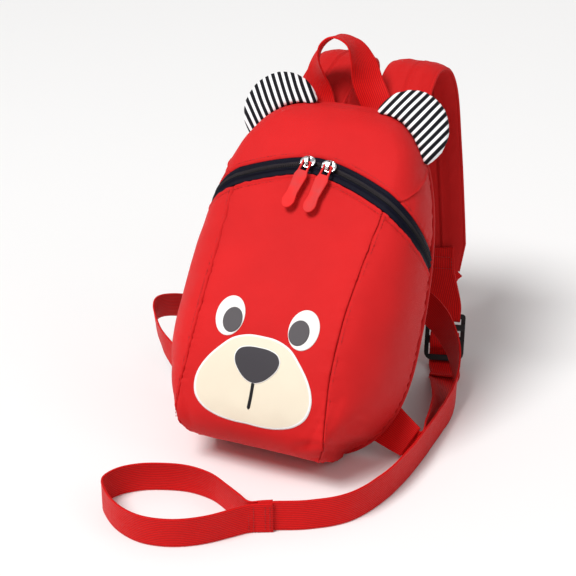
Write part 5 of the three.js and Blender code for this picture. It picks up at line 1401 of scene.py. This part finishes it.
def strap_form():
    """Rings of the right padded strap with flat bound edges: its section swells from them by a
    power of the distance from its middle, and the pad thins and narrows towards both ends. Gives
    also its path, its directions and its half width."""
    at, side = spaced(STRAP_LAY, 1.7)
    share = np.linspace(0, 1, len(at))
    turn = np.linspace(0, 2 * math.pi, 161)[:-1]
    u, v = np.cos(turn), np.sin(turn)
    x = np.sign(u) * np.abs(u) ** 0.8
    root = np.minimum(1, 0.3 + share / 0.12)
    end = np.minimum(1, 0.62 + (1 - share) / 0.16)
    wide = np.minimum(np.minimum(1, 0.74 + (1 - share) / 0.3), 0.9 + share) * STRAP_WIDTH / 2
    edge = 1 - np.abs(x)
    swell = 0.24 + 0.8 * climb(edge, 0.09, 0.42) ** 0.55 + 0.1 * bell(edge - 0.055, 0.04)
    swell = swell - 0.42 * bell(x - 0.07, 0.028) + 0.12 * bell(x - 0.15, 0.04)
    height = np.sign(v) * np.minimum(1, np.abs(v) * 3) * swell
    thick = STRAP_PAD * 0.5 * np.minimum(root, end)
    section = np.stack([wide[:, None] * x, thick[:, None] * height], -1)
    rings, square, out = carried(at, side, section)
    inner = climb(edge, 0.1, 0.2)
    wave = (0.55 * folds(rings, 26.0, 71) + 0.2 * folds(rings, 11.0, 72)) * inner
    straight = 1 - np.clip(np.abs(share - 0.44) * 3.2, 0, 1)
    gather = 0.14 * (np.sin(2 * math.pi * share / 0.016) * straight)[:, None] * inner * (v < 0)
    return rings + out[:, None] * (wave * 0.8 + gather)[..., None], at, square, out, wide


def shoulder_straps():
    """Padded straps of red cloth with bound edges, and thread along both bindings."""
    rings, at, square, out, half = strap_form()
    lines = []
    for name, s in SIDES:
        mine = mirrored(rings, s)[:, ::s] * MM
        pad = tube_piece(f"padded_strap_{name}", mine, "Strap cloth", [f"shoulder_strap_{name}"])
        for place in (-1, 1):
            for face in (-1, 1):
                path = at + square * (place * (half - BINDING))[:, None] + out * face * STRAP_PAD * 0.155
                lines.append((mirrored(path, s)[4:-5], mirrored(out, s)[4:-5] * face))
    stitches_piece("strap_stitches", lines, "red_cloth", 2.9, 2.1, 0.3, 0.05)


def strap_tabs():
    """Webbing that joins each padded strap to its ladder lock: it holds the strap's end between
    two layers and folds round the lock's bar. A stitched box goes through each layer."""
    end = STRAP_LAY[-1, :3]
    up = unit(STRAP_LAY[-2, :3] - end)
    front = unit(np.cross(LOCK_SIDE, up))
    ways = ((22, 2), (10, 1), (-1, 0))
    before, behind = (
        [end + up * rise + front * s * (TAB_LAYER + more) for rise, more in ways] for s in (1, -1)
    )
    at = np.vstack([
        before, LOCK_BAR + LOCK_AXIS * 8 + LOCK_FRONT * 4, arc(LOCK_BAR, LOCK_FRONT, LOCK_AXIS, 4, 0, -180),
        LOCK_BAR + LOCK_AXIS * 8 - LOCK_FRONT * 4, behind[::-1],
    ])
    at, side = even((at, LOCK_SIDE), step=1.3)
    rows = []
    for face in (-1, 1):
        for rise in (4.0, 14.0):
            middle = end + up * rise + front * face * (TAB_LAYER + 1.85 + 0.1 * (rise - 4))
            rows.append((middle - LOCK_SIDE * 10, middle + LOCK_SIDE * 10, front * face))
        for across in (-10.5, 10.5):
            low = end + up * 3 + front * face * (TAB_LAYER + 1.85) + LOCK_SIDE * across
            rows.append((low, low + up * 12 + front * face, front * face))
    lines = []
    for name, s in SIDES:
        route = mirrored(at, s), mirrored(side, s)
        webbing_piece(f"strap_webbing_{name}", f"strap_tab_{name}", route, 25, 1.7, 9)
        lines += [(mirrored(line_between(a, b), s), mirrored(way, s)) for a, b, way in rows]
    stitches_piece("tab_stitches", lines, "red_webbing")


def lower_webbing():
    """Webbing from each bottom corner along the floor, round the middle bar of its ladder lock
    and back under itself to a short free end."""
    inner = LOCK_MIDDLE + THREADED[:, :1] * LOCK_AXIS + THREADED[:, 1:] * LOCK_FRONT
    for name, s in SIDES:
        lock_side = mirrored(LOCK_SIDE, s) * -s
        route = even(
            (in_row(CORNERS[s]), leaning([0.42 * s, 0, 0.91])), split(LOWER_LAY[s]),
            (np.array([TURNS[s]]), lock_side if s > 0 else [0.85, -0.45, -0.1]),
            (mirrored(inner, s), lock_side), (np.array(TAILS[s]), lock_side), step=1.3,
        )
        node_name = f"lower_webbing_{name}"
        webbing_piece(f"lower_band_{name}", node_name, route, 24.6, 1.5, 13 + s, 0.0002)


def chest_straps():
    """The two short straps that hold the chest buckle: each folds round its bar, and both of its
    ends are sewn on the padded strap."""
    for name, s, offset in (("right", 1, 38.5), ("left", -1, -21.5)):
        bar = BUCKLE + [offset, 0, 0]
        start, reach = bar[0] + 13 * s, s * 69.0
        tips = ((0, -0.8, 1), (0.45, -0.4, 5), (0.72, 0.9, 10), (1, 2.9, 14))
        at = np.vstack([
            bar + [13 * s, 1.4, 0], bar + [8 * s, 2.4, 0], arc(bar, AHEAD, -s * OUT, 3.7, 0, 180),
            bar + [8 * s, -2, 0],
            [[start + (reach - start) * share, BUCKLE[1] + y, BUCKLE[2] + z] for share, y, z in tips],
        ])
        side = np.broadcast_to(UP, at.shape).copy()
        side[-3] = [-0.1 * s, 0, 1]
        route = even((at, side), step=1.2)
        webbing_piece(f"chest_webbing_{name}", f"chest_strap_{name}", route, 20, 1.5, 15)


# Hard pieces ---------------------------------------------------------------

# Node, body, material and bevel, of which the ladder locks, sliders and pulls are in pairs
PLASTIC = "Black moulded plastic"
HARD_PIECES = [
    ("d_ring", "bag", PLASTIC, 0.35), ("hook_base", "bag", PLASTIC, 0.3),
    ("hook_body", "hook", PLASTIC, 0.4), ("hook_gate", "gate", PLASTIC, 0.3),
    ("buckle_female", "bag", PLASTIC, 0.7), ("buckle_male", "bag", PLASTIC, 0.7),
]
for side_name in ("left", "right"):
    HARD_PIECES += [
        (f"ladder_lock_{side_name}", "bag", PLASTIC, 0.6),
        (f"slider_{side_name}", "bag", "Silver metal", 0.4),
        (f"pull_{side_name}", f"zip_pull_{side_name}", "Red rubber", 0.6),
    ]
RING_THINNING = 0.3


def drawn_out(mesh, hold=4.5, longer=0.36, wider=0.6):
    """Makes a zip pull's grip longer and wider. Along its own length, width and thickness, found
    from the spread of its points, only what lies further than the given way from its upper end
    is stretched."""
    co = places(mesh) / MM
    middle = (co.max(0) + co.min(0)) / 2
    axes = np.linalg.svd(co - co.mean(0), full_matrices=False)[2]
    along = axes[0] * (-1 if axes[0][2] > 0 else 1)
    run = (co - middle) @ along
    beyond = np.maximum(0, run - run.min() - hold)
    side = (co - middle) @ axes[1]
    grown = wider * np.clip(beyond / 3, 0, 1) * bell(beyond - 10.5, 5)
    move(mesh, (co + along * (longer * beyond)[:, None] + axes[1] * (grown * side)[:, None]) * MM)


def hardware():
    """Ring, hook, buckle, ladder locks, zip sliders and pulls: each the CAD node's shape with its
    loose triangles merged and its edges rounded. The ring is a little thinner all round, so that
    the hook can swivel in it."""
    for node_name, body, material, bevel in HARD_PIECES:
        mesh = merged_copy(node_name, f"moulded_{node_name}")
        if node_name.startswith("pull_"):
            drawn_out(mesh)
        if node_name == "d_ring":
            move(mesh, places(mesh) - places(mesh, "normal") * RING_THINNING * MM)
        obj = link(f"moulded_{node_name}", mesh)
        edge = obj.modifiers.new("Rounded edges", "BEVEL")
        edge.width = bevel * MM
        edge.segments = 3
        edge.limit_method = "ANGLE"
        edge.angle_limit = math.radians(32)
        edge.harden_normals = True
        edge.use_clamp_overlap = True
        finished(obj, material_named(material), body, MATERIALS[material][0], [node_name])


# Thread --------------------------------------------------------------------


def seam_line(across, up, lift):
    """A line of points on the bag's face with its normals, in millimetres of the row's frame."""
    p = lifted(bag_point(up, across), 0)
    way = outward(p)
    raised = p + way * (lift + 0.55 * folds(p, SAG_SIZE, FRONT_SEED))[:, None]
    return in_row(raised), leaning(way)


def bag_stitches():
    """Thread under and over the zip, beside both side seams, and at the feet of the handle."""
    lines = []
    for low, high in ((-0.5, 0.5), (0.51, 0.97), (-0.97, -0.51)):
        a = np.linspace(low + 0.006, high - 0.006, 160)
        lines.append(seam_line(a, zip_lower(a) - 4.6 / BAG_HEIGHT, -0.2))
    for s in (-1, 1):
        up = np.linspace(0.05, 0.985, 150) * zip_lower(s * 0.5)
        lines.append(seam_line(0 * up + s * 0.516, up, 0.0))
    stitches_piece("bag_stitches", lines, "red_cloth", 3.0, 2.2, 0.28, 0.02)
    a = np.linspace(-0.97, 0.97, 400)
    upper = seam_line(a, zip_upper(a) + 2.4 / BAG_HEIGHT, -0.25)
    stitches_piece("top_stitches", [upper], "red_cloth", 3.0, 2.2, 0.26, 0.0)
    lines = []
    for s in (-1, 1):
        for z in (253.0, 262.0, 265.0):
            p = on_back(s * 25 + np.linspace(-10.5, 10.5, 16), z, 2.1)
            lines.append((in_row(p), leaning(AHEAD)))
    stitches_piece("back_stitches", lines, "red_webbing", 2.8, 2.1, 0.3)


# Settings ------------------------------------------------------------------


def colour(name, description, *default):
    """One colour setting."""
    return FloatVectorProperty(
        name=name, description=description, default=(*default, 1), subtype="COLOR", size=4, min=0, max=1
    )


def pitch(name, description, default, **limits):
    """One setting that is a length."""
    return FloatProperty(
        name=name, description="Pitch of " + description, default=default, unit="LENGTH", **limits
    )


class BackpackLook(bpy.types.PropertyGroup):
    """Colours of the backpack's materials."""

    cloth: colour("Cloth", "Nylon of the bag", 0.72, 0.015, 0.016)
    strap: colour("Strap cloth", "Cloth of the padded straps", 0.70, 0.012, 0.012)
    webbing: colour("Webbing", "Lead, handle and harness webbing", 0.74, 0.006, 0.006)
    thread: colour("Thread", "Stitches", 0.50, 0.012, 0.012)
    zip_tape: colour("Zip tape", "Navy tape of the zip", 0.0025, 0.0025, 0.012)
    # Painted highlight: the paler colour of the strip over the upper coil, where it faces the light
    zip_lit_strip: colour("Zip strip", "Twill strip over the upper coil", 0.042, 0.035, 0.040)
    mesh: colour("Air mesh", "Padded back", 0.005, 0.006, 0.022)
    band: colour("Back band", "Charcoal band on the back", 0.011, 0.012, 0.021)
    cream: colour("Cream", "Muzzle", 0.88, 0.785, 0.62)
    white: colour("White", "Eyes and the muzzle's rim", 0.95, 0.94, 0.92)
    pupil: colour("Grey", "Pupils", 0.105, 0.095, 0.102)
    nose: colour("Nose", "Nose and mouth", 0.055, 0.050, 0.058)
    plastic: colour("Plastic", "Ring, hook, buckle and ladder locks", 0.006, 0.006, 0.007)
    rubber: colour("Rubber", "Zip pulls", 0.66, 0.006, 0.006)
    metal: colour("Metal", "Zip sliders", 0.62, 0.62, 0.63)


class BackpackDetail(bpy.types.PropertyGroup):
    """Sizes of the fine work."""

    weave_pitch: pitch("Weave", "the nylon's threads", 0.0006, min=0.0002)
    rib_pitch: pitch("Ribs", "the webbing's lengthwise ribs", 0.0016)
    pick_pitch: pitch("Picks", "the webbing's crosswise threads", 0.0011)
    mesh_pitch: pitch("Air mesh", "the air mesh's holes", 0.0026)
    stripe_pitch: pitch("Stripes", "the ears' stripes", 0.0052)
    view_angle: FloatProperty(
        name="View", description="The camera's angle of view", default=math.radians(20.3), unit="ROTATION"
    )


PIECES = (
    ("stage", "Camera, lights and floor", "Sets the camera, the lights and the floor", camera_and_lights),
    ("lead", "Lead and hand loop", "Lays the lead and its hand loop", leash),
    ("body", "Body cloth", "Sews the front, the sides and the top", body_cloth),
    ("zip", "Zip", "Makes the zip's tape and coil", closing_zip),
    ("edge", "Corded edge", "Makes the corded edge round the back", back_piping),
    ("pad", "Padded back", "Makes the padded back and its band", back_pad),
    ("face", "Bear face", "Prints the face on the front", bear_face),
    ("ears", "Ears", "Stuffs the striped ears", ears),
    ("handle", "Handle and tabs", "Makes the handle, ring tab and corner tabs", handle_and_tabs),
    ("straps", "Shoulder straps", "Pads the shoulder straps", shoulder_straps),
    ("tabs", "Strap tabs", "Joins the straps to the ladder locks", strap_tabs),
    ("lower", "Lower webbing", "Lays the lower webbing", lower_webbing),
    ("chest", "Chest straps", "Makes the chest straps", chest_straps),
    ("hardware", "Hard pieces", "Moulds the ring, hook, buckle, locks, sliders and pulls", hardware),
    ("thread", "Stitches", "Sews the stitches of the bag", bag_stitches),
)


def piece_operator(key, label, text, make):
    """The operator class of one group of pieces."""

    def execute(self, context):
        make()
        return {"FINISHED"}

    members = {
        "__doc__": text, "bl_idname": f"backpack.{key}", "bl_label": label,
        "bl_options": {"REGISTER", "UNDO"}, "execute": execute,
    }
    return type(f"BACKPACK_OT_{key}", (bpy.types.Operator,), members)


OPERATORS = [piece_operator(*piece) for piece in PIECES]


class BACKPACK_PT_panel(bpy.types.Panel):
    """Settings and steps of the backpack, in the 3D view's sidebar."""

    bl_label = "Backpack"
    bl_idname = "BACKPACK_PT_panel"
    bl_space_type = "VIEW_3D"
    bl_region_type = "UI"
    bl_category = "Backpack"

    def draw(self, context):
        for settings in (look(), detail()):
            box = self.layout.box()
            for key in settings.__annotations__:
                box.prop(settings, key)
        for operator in OPERATORS:
            self.layout.operator(operator.bl_idname)


CLASSES = [BackpackLook, BackpackDetail, *OPERATORS, BACKPACK_PT_panel]


def register():
    """Adds the classes and the scene's settings."""
    for item in CLASSES:
        bpy.utils.register_class(item)
    bpy.types.Scene.backpack_look = PointerProperty(type=BackpackLook)
    bpy.types.Scene.backpack_detail = PointerProperty(type=BackpackDetail)


def unregister():
    """Takes the settings and the classes away."""
    del bpy.types.Scene.backpack_detail
    del bpy.types.Scene.backpack_look
    for item in reversed(CLASSES):
        bpy.utils.unregister_class(item)


def main():
    """Builds everything in order and notes the sizes of the CAD and of the finished object."""
    register()
    for key, *_ in PIECES:
        getattr(bpy.ops.backpack, key)()
    bpy.context.view_layer.update()


if __name__ == "__main__":
    main()
